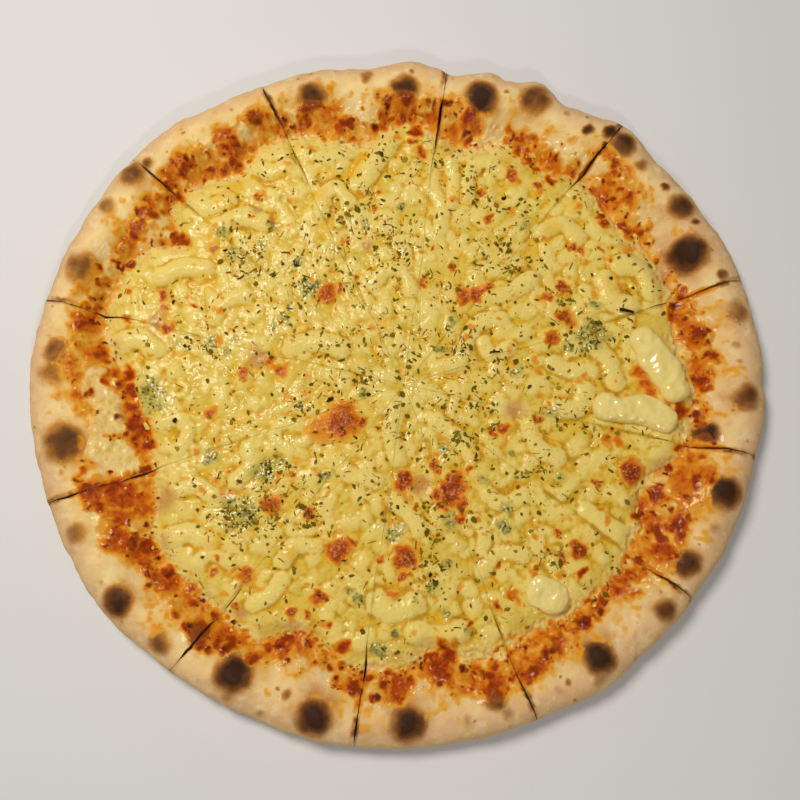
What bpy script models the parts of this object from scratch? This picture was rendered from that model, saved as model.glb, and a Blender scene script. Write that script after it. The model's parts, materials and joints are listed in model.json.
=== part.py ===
# Four cheese pizza, baked whole and then cut into twelve slices that still lie together.
# Metres, +Z up. The origin is at the middle of the outline, on the surface the pizza rests on.

import math
import random

import bmesh
import bpy
import numpy as np
from mathutils import Vector, bvhtree, geometry, noise

MM = 0.001

# Driving sizes, in millimetres
BASE_THICKNESS = 4.0
SAUCE_THICKNESS = 1.1
CHEESE_THICKNESS = 4.6
LAYER_GAP = 0.3
RIM_HEIGHT = 19.0
RIM_UNEVENNESS = 0.07
RIM_BELLY_HEIGHT = 8.5
CREST_INSET = 13.0
SHOULDER_INSETS = (1.8, 6.0)
HEEL_INSET = 2.6
HEEL_HEIGHT = 2.2
FOOT_INSET = 9.0
FULL_BLISTER_HEIGHT = 6.0
SAUCE_TO_CHEESE = 5.0
SAUCE_TO_CREST = 5.0
SAUCE_LIP = 1.4
CHEESE_LIP = 1.5
CHEESE_UNDERCUT = 0.6
CHEESE_SHOULDER = 1.4
CHEESE_BROW = 6.5
CHEESE_TAPER = 13.0
CHEESE_SWELLS = ((0.9, 30, 0.4), (0.5, 14, 7.7))
RELIEF_GRID = 14.0
RELIEF_REACH = 180.0
STROKE_RISE = 0.24
STROKE_DEPTH = 1.0
STROKE_CAPS = (0.75,)
STROKE_SIDES = 6
KERF_IN_CHEESE = 0.4
KERF_AT_EDGE = 0.5
CUTTER_HEIGHTS = (-2.0, 40.0)
COLUMNS_IN_SLICE = 10
FLAKES = 125
FLAKE_LENGTH = (3.0, 5.5)
FLAKE_WIDTH = (1.6, 2.4)
FLAKE_RIDGE = 0.7
FLAKE_SINK = 0.45
FLAKE_REACH = 134.0
FLAKE_CROWDING = 0.6
FLAKE_RIDGE_SHARE = 0.45
GOLDEN_ANGLE = 137.508
SEED = 11

# The cuts: direction in degrees, width in the rim, and how far out the open gap starts
CUTS = [
    (17.5, 1.4, 152), (50.3, 3.0, 155), (82.5, 2.2, 139), (115.0, 1.8, 140),
    (139.8, 1.6, 163), (166.4, 1.5, 161), (199.0, 1.5, 145), (231.6, 1.6, 142),
    (262.1, 2.2, 149), (291.1, 1.5, 142), (322.6, 1.2, 157), (348.0, 1.4, 147),
]

# Distances from the point where the cuts meet, at directions in degrees
OUTLINE = [
    (0, 197), (17.5, 197.3), (25, 197), (30, 194.5), (34, 196), (42, 194), (50.3, 197), (60, 189.5),
    (66, 195), (71.5, 189.5), (75, 192), (81, 185.5), (84, 188.5), (89, 191.7), (96, 188), (105, 193),
    (115, 195), (124, 197.4), (131, 201.4), (139.8, 203.5), (150, 203), (160, 204), (176, 204.9),
    (190, 202.6), (205, 200), (220, 198), (235, 193), (250, 191.3), (262, 190.8), (280, 188.1),
    (295, 188.7), (303, 191), (312, 189.8), (330, 191.3), (342, 193.3), (348, 193), (353, 196),
    (358, 198.5),
]
CHEESE_EDGE = [
    (0, 161), (10, 154), (22, 160), (40, 154), (48, 158), (56, 151), (66, 155), (77, 146), (90, 156),
    (100, 146), (110, 159.5), (122, 163), (127, 157), (136, 168), (143, 165), (147, 150), (151, 164),
    (158, 171), (170, 169), (180, 151), (192, 144), (204, 147), (213, 159), (230, 156), (240, 158),
    (248, 143), (258, 153), (270, 151), (276, 143), (285, 152), (296, 149), (304, 151), (315, 154),
    (328, 149), (338, 142), (346, 156), (353, 159),
]
SAUCE_EDGE = [
    (0, 170), (10, 173), (17.5, 169), (27, 165), (38, 174), (45, 179), (57, 168), (68, 163), (80, 169),
    (92, 171), (100, 165), (112, 175), (124, 180), (136, 183), (147, 178), (160, 182), (168, 186),
    (178, 184), (189, 172), (197, 182), (207, 183), (215, 172), (232, 175), (250, 162), (266, 169),
    (276, 161), (288, 171), (298, 167), (312, 161), (327, 172), (333, 168), (340, 175), (352, 169),
]

# Blisters on the rim: direction, distance, radius and rise
BLISTERS = [
    (12, 186, 8, 1.2), (24.8, 173.7, 11, 3.4), (32.8, 183.5, 8, 1.8), (47.8, 184, 8, 1.8),
    (65.5, 180.4, 10, 2.2), (75, 170.6, 10, 3.0), (89.7, 170.4, 9, 2.4), (107.5, 172.9, 9, 2.6),
    (118.8, 174.8, 7, 2.0), (142, 193, 8, 1.6), (160.2, 187.6, 10, 2.2), (175, 188, 8, 1.4),
    (178.3, 189.8, 8, 1.0), (190.4, 183.8, 11, 2.8), (205.2, 189.4, 7, 1.4), (218.1, 187.6, 9, 2.2),
    (231.2, 169, 7, 1.8), (240.2, 174.6, 10.5, 3.0), (255.2, 178.8, 10, 3.0), (270.7, 176.3, 10, 2.4),
    (285.8, 169.1, 7, 2.0), (304.7, 174.7, 9, 2.8), (318.4, 180.2, 7, 1.8), (326.8, 175.4, 8, 2.2),
    (340.5, 179, 9.5, 3.0), (350.8, 165, 7, 1.8), (357.4, 184.4, 8, 2.2),
]

# Piped and melted strokes of cheese: width, then the points of the middle line
STROKES = [
    (13, (-25, 116), (-18, 128), (-10, 140)), (9, (-52, 134), (-40, 133), (-30, 138)),
    (9, (-47, 100), (-45, 110), (-37, 114), (-31, 106)), (8, (27, 130), (29, 118), (27, 105)),
    (8, (17, 113), (22, 103), (20, 88)), (9, (36, 108), (37, 121), (45, 130), (56, 124)),
    (9, (22, 10), (31, 14), (35, 25), (42, 35), (54, 37)), (8, (44, 24), (49, 17), (58, 21)),
    (10, (71, 60), (60, 53), (47, 50)), (12, (-60, 22), (-48, 25), (-35, 21)),
    (9, (-17, 57), (-9, 66), (0, 64), (4, 54)), (10, (-4, -14), (-7, -27), (-3, -40)),
    (10, (18, -20), (27, -27), (36, -38)), (7, (-57, -22), (-66, -21), (-70, -29), (-62, -36)),
    (9, (-37, -41), (-29, -49), (-15, -53)), (13, (113, 59), (116, 48), (125, 44)),
    (13, (121, 68), (133, 66), (138, 54)), (11, (106, 22), (113, 12), (116, 2)),
    (11, (86, -13), (95, -12), (99, -3)), (9, (82, 12), (92, 8), (103, 8)),
    (10, (98, -68), (108, -76), (116, -81)), (11, (-135, 62), (-124, 67), (-111, 66)),
    (9, (-88, 51), (-99, 47), (-105, 38)), (12, (-155, 24), (-146, 26), (-137, 20)),
    (8, (-132, -21), (-122, -19), (-117, -27), (-122, -36)), (9, (-84, -34), (-83, -45), (-90, -53)),
    (9, (-122, -58), (-112, -55), (-103, -60)), (11, (-125, -84), (-114, -80), (-103, -85)),
    (8, (-110, -97), (-103, -91), (-92, -95)), (9, (-64, -104), (-70, -112), (-79, -117)),
    (9, (-64, -95), (-58, -87), (-46, -87)), (13, (-14, -116), (-5, -121), (6, -117)),
    (12, (6, -131), (17, -134), (29, -131)), (9, (42, -100), (50, -91), (63, -92)),
    (10, (-5, -63), (2, -69), (8, -78)), (9, (45, -60), (54, -65), (64, -60)),
    (8, (37, -73), (43, -80), (42, -90)), (12, (-117, 106), (-109, 102), (-100, 106)),
    (12, (-104, 92), (-92, 97), (-80, 94)), (10, (-84, 128), (-75, 124), (-67, 127)),
    (10, (78, 88), (90, 92), (98, 84)), (10, (68, -22), (72, -34), (83, -40)),
]

# Large dollops of soft cheese: width, height, and the points of the middle line
DOLLOP_DEPTH = 2.4
DOLLOP_CAPS = (0.55, 0.88)
DOLLOP_SIDES = 10
SOCKET_GAP = 0.3
DOLLOPS = [
    (18.5, 8.6, (133, 23), (139, 14), (144.5, 6), (148, -2)),
    (16.5, 8.2, (112, -12.5), (121, -13.5), (132, -14.5), (141.5, -19.5)),
    (18, 7.6, (73.5, -111.5), (77.5, -113.5)),
]

CRUST_COLOUR = (0.72, 0.48, 0.27)
SAUCE_COLOUR = (0.55, 0.10, 0.02)
CHEESE_COLOUR = (0.74, 0.58, 0.20)
DOLLOP_COLOUR = (0.80, 0.64, 0.28)

SAUCE_BOTTOM = BASE_THICKNESS + LAYER_GAP
SAUCE_TOP = SAUCE_BOTTOM + SAUCE_THICKNESS
CHEESE_BOTTOM = SAUCE_TOP + LAYER_GAP


def empty_scene():
    for thing in list(bpy.data.objects):
        bpy.data.objects.remove(thing)


def material(name, colour, roughness):
    made = bpy.data.materials.new(name)
    made.use_nodes = True
    shader = made.node_tree.nodes["Principled BSDF"]
    shader.inputs["Base Color"].default_value = (*colour, 1.0)
    shader.inputs["Roughness"].default_value = roughness
    shader.inputs["Metallic"].default_value = 0.0
    return made


def round_the_rim(readings, angle):
    """A smooth closed curve through the readings, at an angle in degrees."""
    angle %= 360
    count = len(readings)
    at = max((i for i in range(count) if readings[i][0] <= angle), default=count - 1)
    picked = [readings[(at + step) % count] for step in (-1, 0, 1, 2)]
    places = [pair[0] for pair in picked]
    for i in range(1, 4):
        while places[i] < places[i - 1]:
            places[i] += 360
    while angle < places[1] - 180:
        angle += 360
    values = [pair[1] for pair in picked]
    span = places[2] - places[1]
    start_slope = (values[2] - values[0]) / (places[2] - places[0]) * span
    end_slope = (values[3] - values[1]) / (places[3] - places[1]) * span
    t = (angle - places[1]) / span
    return (
        (2 * t**3 - 3 * t**2 + 1) * values[1] + (t**3 - 2 * t**2 + t) * start_slope
        + (3 * t**2 - 2 * t**3) * values[2] + (t**3 - t**2) * end_slope
    )


def outline(angle):
    return round_the_rim(OUTLINE, angle)


def cheese_edge(angle):
    return round_the_rim(CHEESE_EDGE, angle)


def sauce_edge(angle):
    """The sauce runs up the inner slope of the rim, but not over its crest."""
    low = cheese_edge(angle) + SAUCE_TO_CHEESE
    high = outline(angle) - CREST_INSET - SAUCE_TO_CREST
    return min(max(round_the_rim(SAUCE_EDGE, angle), low), high)


def columns():
    """Directions of the mesh columns: the cuts, with even steps between them."""
    angles = []
    for (start, *_), (end, *_) in zip(CUTS, CUTS[1:] + [(CUTS[0][0] + 360,)]):
        angles += [start + (end - start) * i / COLUMNS_IN_SLICE for i in range(COLUMNS_IN_SLICE)]
    return angles


def polar(angle, radius):
    turn = math.radians(angle)
    return radius * math.cos(turn), radius * math.sin(turn)


def middle_of_outline():
    points = np.array([polar(a, outline(a)) for a in columns()])
    return (points.min(axis=0) + points.max(axis=0)) / 2


HUB_X, HUB_Y = -middle_of_outline()


def crust_height(angle, radius):
    """Height of the crust's top: flat under the toppings, then the puffed rim with its blisters."""
    start = cheese_edge(angle)
    if radius <= start:
        return BASE_THICKNESS
    edge = outline(angle)
    crest = edge - CREST_INSET
    x, y = polar(angle, radius)
    puff = RIM_HEIGHT * (1 + RIM_UNEVENNESS * noise.noise(Vector((x / 45, y / 45, 3.1))))
    if radius < crest:
        share = (radius - start) / (crest - start)
        height = BASE_THICKNESS + (puff - BASE_THICKNESS) * math.sin(share * math.pi / 2) ** 1.25
    else:
        share = min((radius - crest) / CREST_INSET, 1)
        height = RIM_BELLY_HEIGHT + (puff - RIM_BELLY_HEIGHT) * math.sqrt(1 - share**2)
    rise = 0
    for blister_angle, blister_radius, size, top in BLISTERS:
        bx, by = polar(blister_angle, blister_radius)
        away = math.hypot(x - bx, y - by) / size
        rise += top * math.exp(-(away**2))
    return height + rise * min(1, (height - BASE_THICKNESS) / FULL_BLISTER_HEIGHT)


def cheese_height(x, y):
    """Height of the melted cheese between the strokes, thinner towards its edge."""
    radius = math.hypot(x, y)
    inside = cheese_edge(math.degrees(math.atan2(y, x))) - radius
    swell = sum(
        high * noise.noise(Vector((x / wide, y / wide, seed))) for high, wide, seed in CHEESE_SWELLS
    )
    full = min(max(inside / CHEESE_TAPER, 0), 1)
    full = full * full * (3 - 2 * full)
    return CHEESE_BOTTOM + CHEESE_LIP + (CHEESE_THICKNESS - CHEESE_LIP + swell) * full


def add_loop(mesh, points):
    return [mesh.verts.new(((x + HUB_X) * MM, (y + HUB_Y) * MM, z * MM)) for x, y, z in points]


def join_loops(mesh, loops):
    """Bands of triangles between loops, split from outer point i to inner point i + 1 so that layers nest."""
    hub = Vector((HUB_X * MM, HUB_Y * MM))
    for first, second in zip(loops, loops[1:]):
        outwards = (first[0].co.xy - hub).length < (second[0].co.xy - hub).length
        for i, a in enumerate(first):
            after = (i + 1) % len(first)
            b, c, d = first[after], second[after], second[i]
            for corners in ((a, b, d), (b, c, d)) if outwards else ((a, b, c), (a, c, d)):
                mesh.faces.new(corners)


def closed_mesh(name, mesh):
    """The bmesh as mesh data, with every face turned outwards."""
    bmesh.ops.recalc_face_normals(mesh, faces=mesh.faces)
    data = bpy.data.meshes.new(name)
    mesh.to_mesh(data)
    mesh.free()
    return data


def turned_layer(name, rows):
    """A layer made of loops round the hub, listed from the lower middle, outwards and back over the top."""
    mesh = bmesh.new()
    loops = [add_loop(mesh, [(*polar(a, radius), z) for a, (radius, z) in row]) for row in rows]
    join_loops(mesh, loops)
    mesh.faces.new(reversed(loops[0]))
    mesh.faces.new(loops[-1])
    return closed_mesh(name, mesh)


def crust_mesh():
    def outer(angle, inset, z):
        return outline(angle) - inset, z

    def top(angle, radius):
        return radius, crust_height(angle, radius)

    def crest(angle):
        return outline(angle) - CREST_INSET

    rules = [
        lambda a: outer(a, FOOT_INSET, 0),
        lambda a: outer(a, HEEL_INSET, HEEL_HEIGHT),
        lambda a: outer(a, 0, RIM_BELLY_HEIGHT),
        lambda a: top(a, outline(a) - SHOULDER_INSETS[0]),
        lambda a: top(a, outline(a) - SHOULDER_INSETS[1]),
        lambda a: top(a, crest(a)),
        lambda a: top(a, (crest(a) + sauce_edge(a)) / 2),
        lambda a: top(a, sauce_edge(a)),
        lambda a: top(a, cheese_edge(a)),
    ]
    return turned_layer("crust", [[(a, rule(a)) for a in columns()] for rule in rules])


def sauce_mesh():
    def edge_height(angle):
        return crust_height(angle, sauce_edge(angle)) + LAYER_GAP

    rules = [
        lambda a: (cheese_edge(a), SAUCE_BOTTOM),
        lambda a: (sauce_edge(a), edge_height(a)),
        lambda a: (sauce_edge(a) - SAUCE_LIP, edge_height(a) + SAUCE_THICKNESS * 0.75),
        lambda a: (cheese_edge(a), SAUCE_TOP),
    ]
    return turned_layer("sauce", [[(a, rule(a)) for a in columns()] for rule in rules])


def relief_points():
    """A staggered grid of points inside the edge of the cheese."""
    points = []
    rows = int(RELIEF_REACH / RELIEF_GRID)
    for row in range(-rows, rows + 1):
        y = row * RELIEF_GRID * 0.87
        for column in range(-rows, rows + 1):
            x = (column + (row % 2) / 2) * RELIEF_GRID
            if math.hypot(x, y) < cheese_edge(math.degrees(math.atan2(y, x))) - CHEESE_TAPER:
                points.append((x, y))
    return points


def cheese_mesh():
    """The melted sheet of cheese: a flat underside, a rounded lip and a wavy top."""
    mesh = bmesh.new()
    foot = [polar(a, cheese_edge(a) - CHEESE_UNDERCUT) for a in columns()]
    under = add_loop(mesh, [(x, y, CHEESE_BOTTOM) for x, y in foot])
    rim = [polar(a, cheese_edge(a) - CHEESE_SHOULDER) for a in columns()]
    brow = [polar(a, cheese_edge(a) - CHEESE_BROW) for a in columns()[::2]]
    spots = [Vector(p) for p in rim + brow + relief_points()]
    ring = [(i, (i + 1) % len(rim)) for i in range(len(rim))]
    flat, _, faces, *_ = geometry.delaunay_2d_cdt(spots, ring, [], 1, 1e-4)
    top = add_loop(mesh, [(p.x, p.y, cheese_height(p.x, p.y)) for p in flat])
    for face in faces:
        mesh.faces.new([top[i] for i in face])
    join_loops(mesh, [under, top[: len(rim)]])
    mesh.faces.new(reversed(under))
    return closed_mesh("cheese_sheet", mesh)


def along(points, t):
    """A smooth curve through the points, at 0 to 1 of its run."""
    run = min(t * (len(points) - 1), len(points) - 1 - 1e-9)
    at = int(run)
    part = run - at
    before = points[max(at - 1, 0)]
    start, end = points[at], points[at + 1]
    after = points[min(at + 2, len(points) - 1)]
    place = []
    for b, s, e, f in zip(before, start, end, after):
        bend = (2 * b - 5 * s + 4 * e - f) * part**2 + (3 * s - b - 3 * e + f) * part**3
        place.append((2 * s + (e - b) * part + bend) / 2)
    return place


def rope_stations(middle, caps):
    """Places along a rope: run of the path, share of the half width past its end, and size of the section."""
    low = [(0, -share, math.sqrt(1 - share**2)) for share in reversed(caps)]
    high = [(1, share, math.sqrt(1 - share**2)) for share in caps]
    return low + [(i / (middle - 1), 0, 1) for i in range(middle)] + high


def rope_mesh(name, path, size, middle, caps, sides, grow=0):
    """A rounded rope of cheese along a path, with round ends, sunk into the sheet by its depth."""
    width, rise, depth = size
    mesh = bmesh.new()
    loops = []
    for t, past, share in rope_stations(middle, caps):
        x, y = along(path, t)
        ahead, behind = along(path, min(t + 0.02, 1)), along(path, max(t - 0.02, 0))
        run = Vector((ahead[0] - behind[0], ahead[1] - behind[1])).normalized()
        half = width / 2 * share + grow
        x, y = x + run.x * past * (width / 2 + grow), y + run.y * past * (width / 2 + grow)
        ground = cheese_height(x, y)
        ring = []
        for k in range(sides):
            turn = 2 * math.pi * (k + 0.5) / sides
            across, up = math.cos(turn), math.sin(turn)
            tall = rise * (0.25 + 0.75 * share) + grow if up > 0 else depth + grow
            ring.append((x - run.y * across * half, y + run.x * across * half, ground + up * tall))
        loops.append(add_loop(mesh, ring))
    join_loops(mesh, loops)
    mesh.faces.new(reversed(loops[0]))
    mesh.faces.new(loops[-1])
    return closed_mesh(name, mesh)


def stroke_meshes():
    made = []
    for number, (width, *path) in enumerate(STROKES):
        middle = 2 * len(path) - 3
        size = (width, width * STROKE_RISE, STROKE_DEPTH)
        made.append(rope_mesh(f"stroke_{number}", path, size, middle, STROKE_CAPS, STROKE_SIDES))
    return made


def surface_tree(parts):
    """Everything that the flakes may lie on, for finding the height below a point."""
    vertices, faces = [], []
    for data in parts:
        first = len(vertices)
        vertices += [v.co.copy() for v in data.vertices]
        faces += [[first + i for i in p.vertices] for p in data.polygons]
    return bvhtree.BVHTree.FromPolygons(vertices, faces)


def near_cut(x, y, margin):
    """True where a point is closer to a cut than the margin."""
    if math.hypot(x, y) < 4 * margin:
        return True
    for angle, *_ in CUTS:
        cx, cy = polar(angle, 1)
        if x * cx + y * cy > 0 and abs(x * cy - y * cx) < margin:
            return True
    return False


def near_dollop(x, y, margin):
    for width, _, *path in DOLLOPS:
        for step in range(9):
            if math.dist((x, y), along(path, step / 8)) < width / 2 + margin:
                return True
    return False


def flake_mesh(name, place, up, turn, length, width):
    """A dried leaf: four corners under the surface, and a ridge above it."""
    side = up.cross(Vector((math.cos(turn), math.sin(turn), 0))).normalized()
    forward = side.cross(up)
    mesh = bmesh.new()
    half, wide = length / 2 * MM, width / 2 * MM
    sink, ridge = -FLAKE_SINK * MM, FLAKE_RIDGE * MM
    corners = [(-half, 0, sink), (0, -wide, sink), (half, 0, sink), (0, wide, sink)]
    corners += [(-half * FLAKE_RIDGE_SHARE, 0, ridge), (half * FLAKE_RIDGE_SHARE, 0, ridge)]
    points = [mesh.verts.new(place + forward * a + side * b + up * c) for a, b, c in corners]
    for face in ((0, 1, 4), (1, 5, 4), (1, 2, 5), (2, 3, 5), (3, 4, 5), (3, 0, 4), (3, 2, 1, 0)):
        mesh.faces.new([points[i] for i in face])
    return closed_mesh(name, mesh)


def flake_meshes(tree):
    """Dried oregano, closest in the middle, spread by the golden angle with seeded sizes and turns."""
    draw = random.Random(SEED)
    made = []
    for number in range(FLAKES):
        radius = FLAKE_REACH * ((number + 0.5) / FLAKES) ** FLAKE_CROWDING
        x, y = polar(number * GOLDEN_ANGLE + draw.uniform(-4, 4), radius)
        length, width = draw.uniform(*FLAKE_LENGTH), draw.uniform(*FLAKE_WIDTH)
        turn = draw.uniform(0, 2 * math.pi)
        if near_cut(x, y, length / 2 + 1) or near_dollop(x, y, length / 2 + 1.5):
            continue
        above = Vector(((x + HUB_X) * MM, (y + HUB_Y) * MM, 1))
        place, up, *_ = tree.ray_cast(above, Vector((0, 0, -1)))
        made.append(flake_mesh(f"flake_{number}", place, up, turn, length, width))
    return made


def scene_object(name, data):
    made = bpy.data.objects.new(name, data)
    bpy.context.scene.collection.objects.link(made)
    return made


def applied(thing):
    """The evaluated mesh of an object, whose own object is then removed."""
    graph = bpy.context.evaluated_depsgraph_get()
    data = bpy.data.meshes.new_from_object(thing.evaluated_get(graph))
    bpy.data.objects.remove(thing)
    return data


def fused(name, base, parts, operation="UNION"):
    """One Boolean of the base with all the parts, applied, with the parts then removed."""
    group = bpy.data.collections.new(f"{name}_parts")
    bpy.context.scene.collection.children.link(group)
    for data in parts:
        group.objects.link(bpy.data.objects.new(data.name, data))
    thing = scene_object(name, base)
    join = thing.modifiers.new("Join", "BOOLEAN")
    join.operand_type = "COLLECTION"
    join.collection = group
    join.operation = operation
    join.solver = "EXACT"
    data = applied(thing)
    for part in list(group.objects):
        bpy.data.objects.remove(part)
    bpy.data.collections.remove(group)
    return data


def kerf_side(cut, side):
    """One side of a cut, seen from above: narrow in the cheese, open in the rim, pinched at the edge."""
    angle, width, opens = cut
    edge = outline(angle)
    open_half = width / 2
    places = [
        (0, KERF_IN_CHEESE / 2), (opens - 12, KERF_IN_CHEESE / 2), (opens + 4, open_half * 0.8),
        ((opens + edge) / 2 + 4, open_half), (edge - 9, open_half * 0.8), (edge - 1, KERF_AT_EDGE / 2),
        (edge + 12, KERF_AT_EDGE / 2),
    ]
    run = np.array(polar(angle, 1))
    across = np.array(polar(angle + 90, side))
    return [tuple(run * radius + across * half) for radius, half in places]


def slice_cutter(number):
    """A prism that holds one slice, drawn just inside its two cuts."""
    first, second = CUTS[number], CUTS[(number + 1) % len(CUTS)]
    left, right = kerf_side(first, 1), kerf_side(second, -1)
    opening = math.radians((second[0] - first[0]) % 360)
    tip_away = KERF_IN_CHEESE / 2 / math.sin(opening / 2)
    tip = polar(first[0] + math.degrees(opening) / 2, tip_away)
    plan = [tip] + left[1:] + right[:0:-1]
    mesh = bmesh.new()
    low, high = (add_loop(mesh, [(x, y, z) for x, y in plan]) for z in CUTTER_HEIGHTS)
    join_loops(mesh, [low, high])
    mesh.faces.new(reversed(low))
    mesh.faces.new(high)
    cutter = scene_object(f"cutter_{number + 1:02d}", closed_mesh("cutter", mesh))
    cutter.hide_render = True
    cutter.display_type = "WIRE"
    return cutter


def finish_mesh(data, finish, sharp=35):
    data.materials.clear()
    data.materials.append(finish)
    data.shade_smooth()
    data.set_sharp_from_angle(angle=math.radians(sharp))


def cut_slices(name, data, cutters):
    """Twelve objects that share the whole layer's mesh, each kept to its own slice."""
    for number, cutter in enumerate(cutters):
        piece = scene_object(f"{name}_{number + 1:02d}", data)
        keep = piece.modifiers.new("Slice", "BOOLEAN")
        keep.operation = "INTERSECT"
        keep.object = cutter
        keep.solver = "EXACT"


def dollop_meshes(name, grow):
    made = []
    for number, (width, height, *path) in enumerate(DOLLOPS):
        size = (width, height - DOLLOP_DEPTH, DOLLOP_DEPTH)
        middle = 2 * len(path) - 2
        label = f"{name}_{number + 1}"
        made.append(rope_mesh(label, path, size, middle, DOLLOP_CAPS, DOLLOP_SIDES, grow))
    return made


def build():
    empty_scene()
    crust = crust_mesh()
    sauce = sauce_mesh()
    sheet = cheese_mesh()
    strokes = stroke_meshes()
    flakes = flake_meshes(surface_tree([sheet] + strokes))
    cheese = fused("cheese", sheet, strokes + flakes)
    cheese = fused("cheese_socketed", cheese, dollop_meshes("socket", SOCKET_GAP), "DIFFERENCE")
    finish_mesh(crust, material("crust", CRUST_COLOUR, 0.75))
    finish_mesh(sauce, material("sauce", SAUCE_COLOUR, 0.35))
    finish_mesh(cheese, material("cheese", CHEESE_COLOUR, 0.35))
    cutters = [slice_cutter(number) for number in range(len(CUTS))]
    cut_slices("crust", crust, cutters)
    cut_slices("sauce", sauce, cutters)
    cut_slices("cheese", cheese, cutters)
    cream = material("soft_cheese", DOLLOP_COLOUR, 0.3)
    for data in dollop_meshes("cream_dollop", 0):
        finish_mesh(data, cream)
        scene_object(data.name, data)


build()
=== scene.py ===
import json
import math
import random

import bmesh
import bpy
import numpy as np
from mathutils import Matrix, Vector, noise

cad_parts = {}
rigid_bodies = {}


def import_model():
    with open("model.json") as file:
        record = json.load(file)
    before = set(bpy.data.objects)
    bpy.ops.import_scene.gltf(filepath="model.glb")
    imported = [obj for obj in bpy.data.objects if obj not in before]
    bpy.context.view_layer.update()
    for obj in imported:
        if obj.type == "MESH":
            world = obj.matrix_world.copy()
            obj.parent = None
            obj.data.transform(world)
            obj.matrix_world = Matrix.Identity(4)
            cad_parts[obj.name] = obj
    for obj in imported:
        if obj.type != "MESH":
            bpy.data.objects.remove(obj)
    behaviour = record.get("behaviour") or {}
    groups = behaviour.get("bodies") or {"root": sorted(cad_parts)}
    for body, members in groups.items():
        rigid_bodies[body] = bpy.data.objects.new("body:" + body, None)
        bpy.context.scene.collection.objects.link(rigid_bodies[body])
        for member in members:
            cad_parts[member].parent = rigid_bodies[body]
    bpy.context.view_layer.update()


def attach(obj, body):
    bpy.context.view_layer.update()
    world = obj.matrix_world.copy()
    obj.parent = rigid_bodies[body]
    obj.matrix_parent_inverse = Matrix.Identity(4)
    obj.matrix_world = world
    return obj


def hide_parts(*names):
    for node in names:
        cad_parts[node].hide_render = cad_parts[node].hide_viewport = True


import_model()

mm = 0.001

# the plan that the solids follow: directions in degrees, distances in mm from where the cuts meet

# direction, width in the rim, where the open gap starts
cuts = [
    (17.5, 1.4, 152), (50.3, 3.0, 155), (82.5, 2.2, 139), (115.0, 1.8, 140),
    (139.8, 1.6, 163), (166.4, 1.5, 161), (199.0, 1.5, 145), (231.6, 1.6, 142),
    (262.1, 2.2, 149), (291.1, 1.5, 142), (322.6, 1.2, 157), (348.0, 1.4, 147),
]
outlineReadings = [
    (0, 197), (17.5, 197.3), (25, 197), (30, 194.5), (34, 196), (42, 194), (50.3, 197), (60, 189.5),
    (66, 195), (71.5, 189.5), (75, 192), (81, 185.5), (84, 188.5), (89, 191.7), (96, 188), (105, 193),
    (115, 195), (124, 197.4), (131, 201.4), (139.8, 203.5), (150, 203), (160, 204), (176, 204.9),
    (190, 202.6), (205, 200), (220, 198), (235, 193), (250, 191.3), (262, 190.8), (280, 188.1),
    (295, 188.7), (303, 191), (312, 189.8), (330, 191.3), (342, 193.3), (348, 193), (353, 196),
    (358, 198.5),
]
cheeseReadings = [
    (0, 161), (10, 154), (22, 160), (40, 154), (48, 158), (56, 151), (66, 155), (77, 146), (90, 156),
    (100, 146), (110, 159.5), (122, 163), (127, 157), (136, 168), (143, 165), (147, 150), (151, 164),
    (158, 171), (170, 169), (180, 151), (192, 144), (204, 147), (213, 159), (230, 156), (240, 158),
    (248, 143), (258, 153), (270, 151), (276, 143), (285, 152), (296, 149), (304, 151), (315, 154),
    (328, 149), (338, 142), (346, 156), (353, 159),
]
sauceReadings = [
    (0, 170), (10, 173), (17.5, 169), (27, 165), (38, 174), (45, 179), (57, 168), (68, 163), (80, 169),
    (92, 171), (100, 165), (112, 175), (124, 180), (136, 183), (147, 178), (160, 182), (168, 186),
    (178, 184), (189, 172), (197, 182), (207, 183), (215, 172), (232, 175), (250, 162), (266, 169),
    (276, 161), (288, 171), (298, 167), (312, 161), (327, 172), (333, 168), (340, 175), (352, 169),
]

plan = {
    "baseThick": 4.0, "sauceBottom": 4.3, "sauceThick": 1.1, "cheeseBottom": 5.7, "cheeseThick": 4.6,
    "rimHeight": 19.0, "rimUneven": 0.07, "bellyHeight": 8.5, "crestInset": 13.0, "footInset": 9.0,
    "cheeseLip": 1.5, "cheeseTaper": 13.0, "strokeRise": 0.31, "highest": 22.6,
}


def polar(angle, radius):
    turn = math.radians(angle)
    return radius * math.cos(turn), radius * math.sin(turn)


def roundTheRim(readings, angle):
    # smooth closed curve through the readings
    angle %= 360
    count = len(readings)
    at = max((i for i in range(count) if readings[i][0] <= angle), default=count - 1)
    picked = [readings[(at + step) % count] for step in (-1, 0, 1, 2)]
    places = [pair[0] for pair in picked]
    for i in range(1, 4):
        while places[i] < places[i - 1]:
            places[i] += 360
    while angle < places[1] - 180:
        angle += 360
    values = [pair[1] for pair in picked]
    span = places[2] - places[1]
    startSlope = (values[2] - values[0]) / (places[2] - places[0]) * span
    endSlope = (values[3] - values[1]) / (places[3] - places[1]) * span
    t = (angle - places[1]) / span
    return (
        (2 * t**3 - 3 * t**2 + 1) * values[1] + (t**3 - 2 * t**2 + t) * startSlope
        + (3 * t**2 - 2 * t**3) * values[2] + (t**3 - t**2) * endSlope
    )


turns = np.arange(0, 360, 0.25)
outlineTable = np.array([roundTheRim(outlineReadings, a) for a in turns])
cheeseTable = np.array([roundTheRim(cheeseReadings, a) for a in turns])
sauceTable = np.clip(
    [roundTheRim(sauceReadings, a) for a in turns], cheeseTable + 5, outlineTable - plan["crestInset"] - 5
)


def around(table, angle):
    return np.interp(angle, turns, table, period=360)


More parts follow.
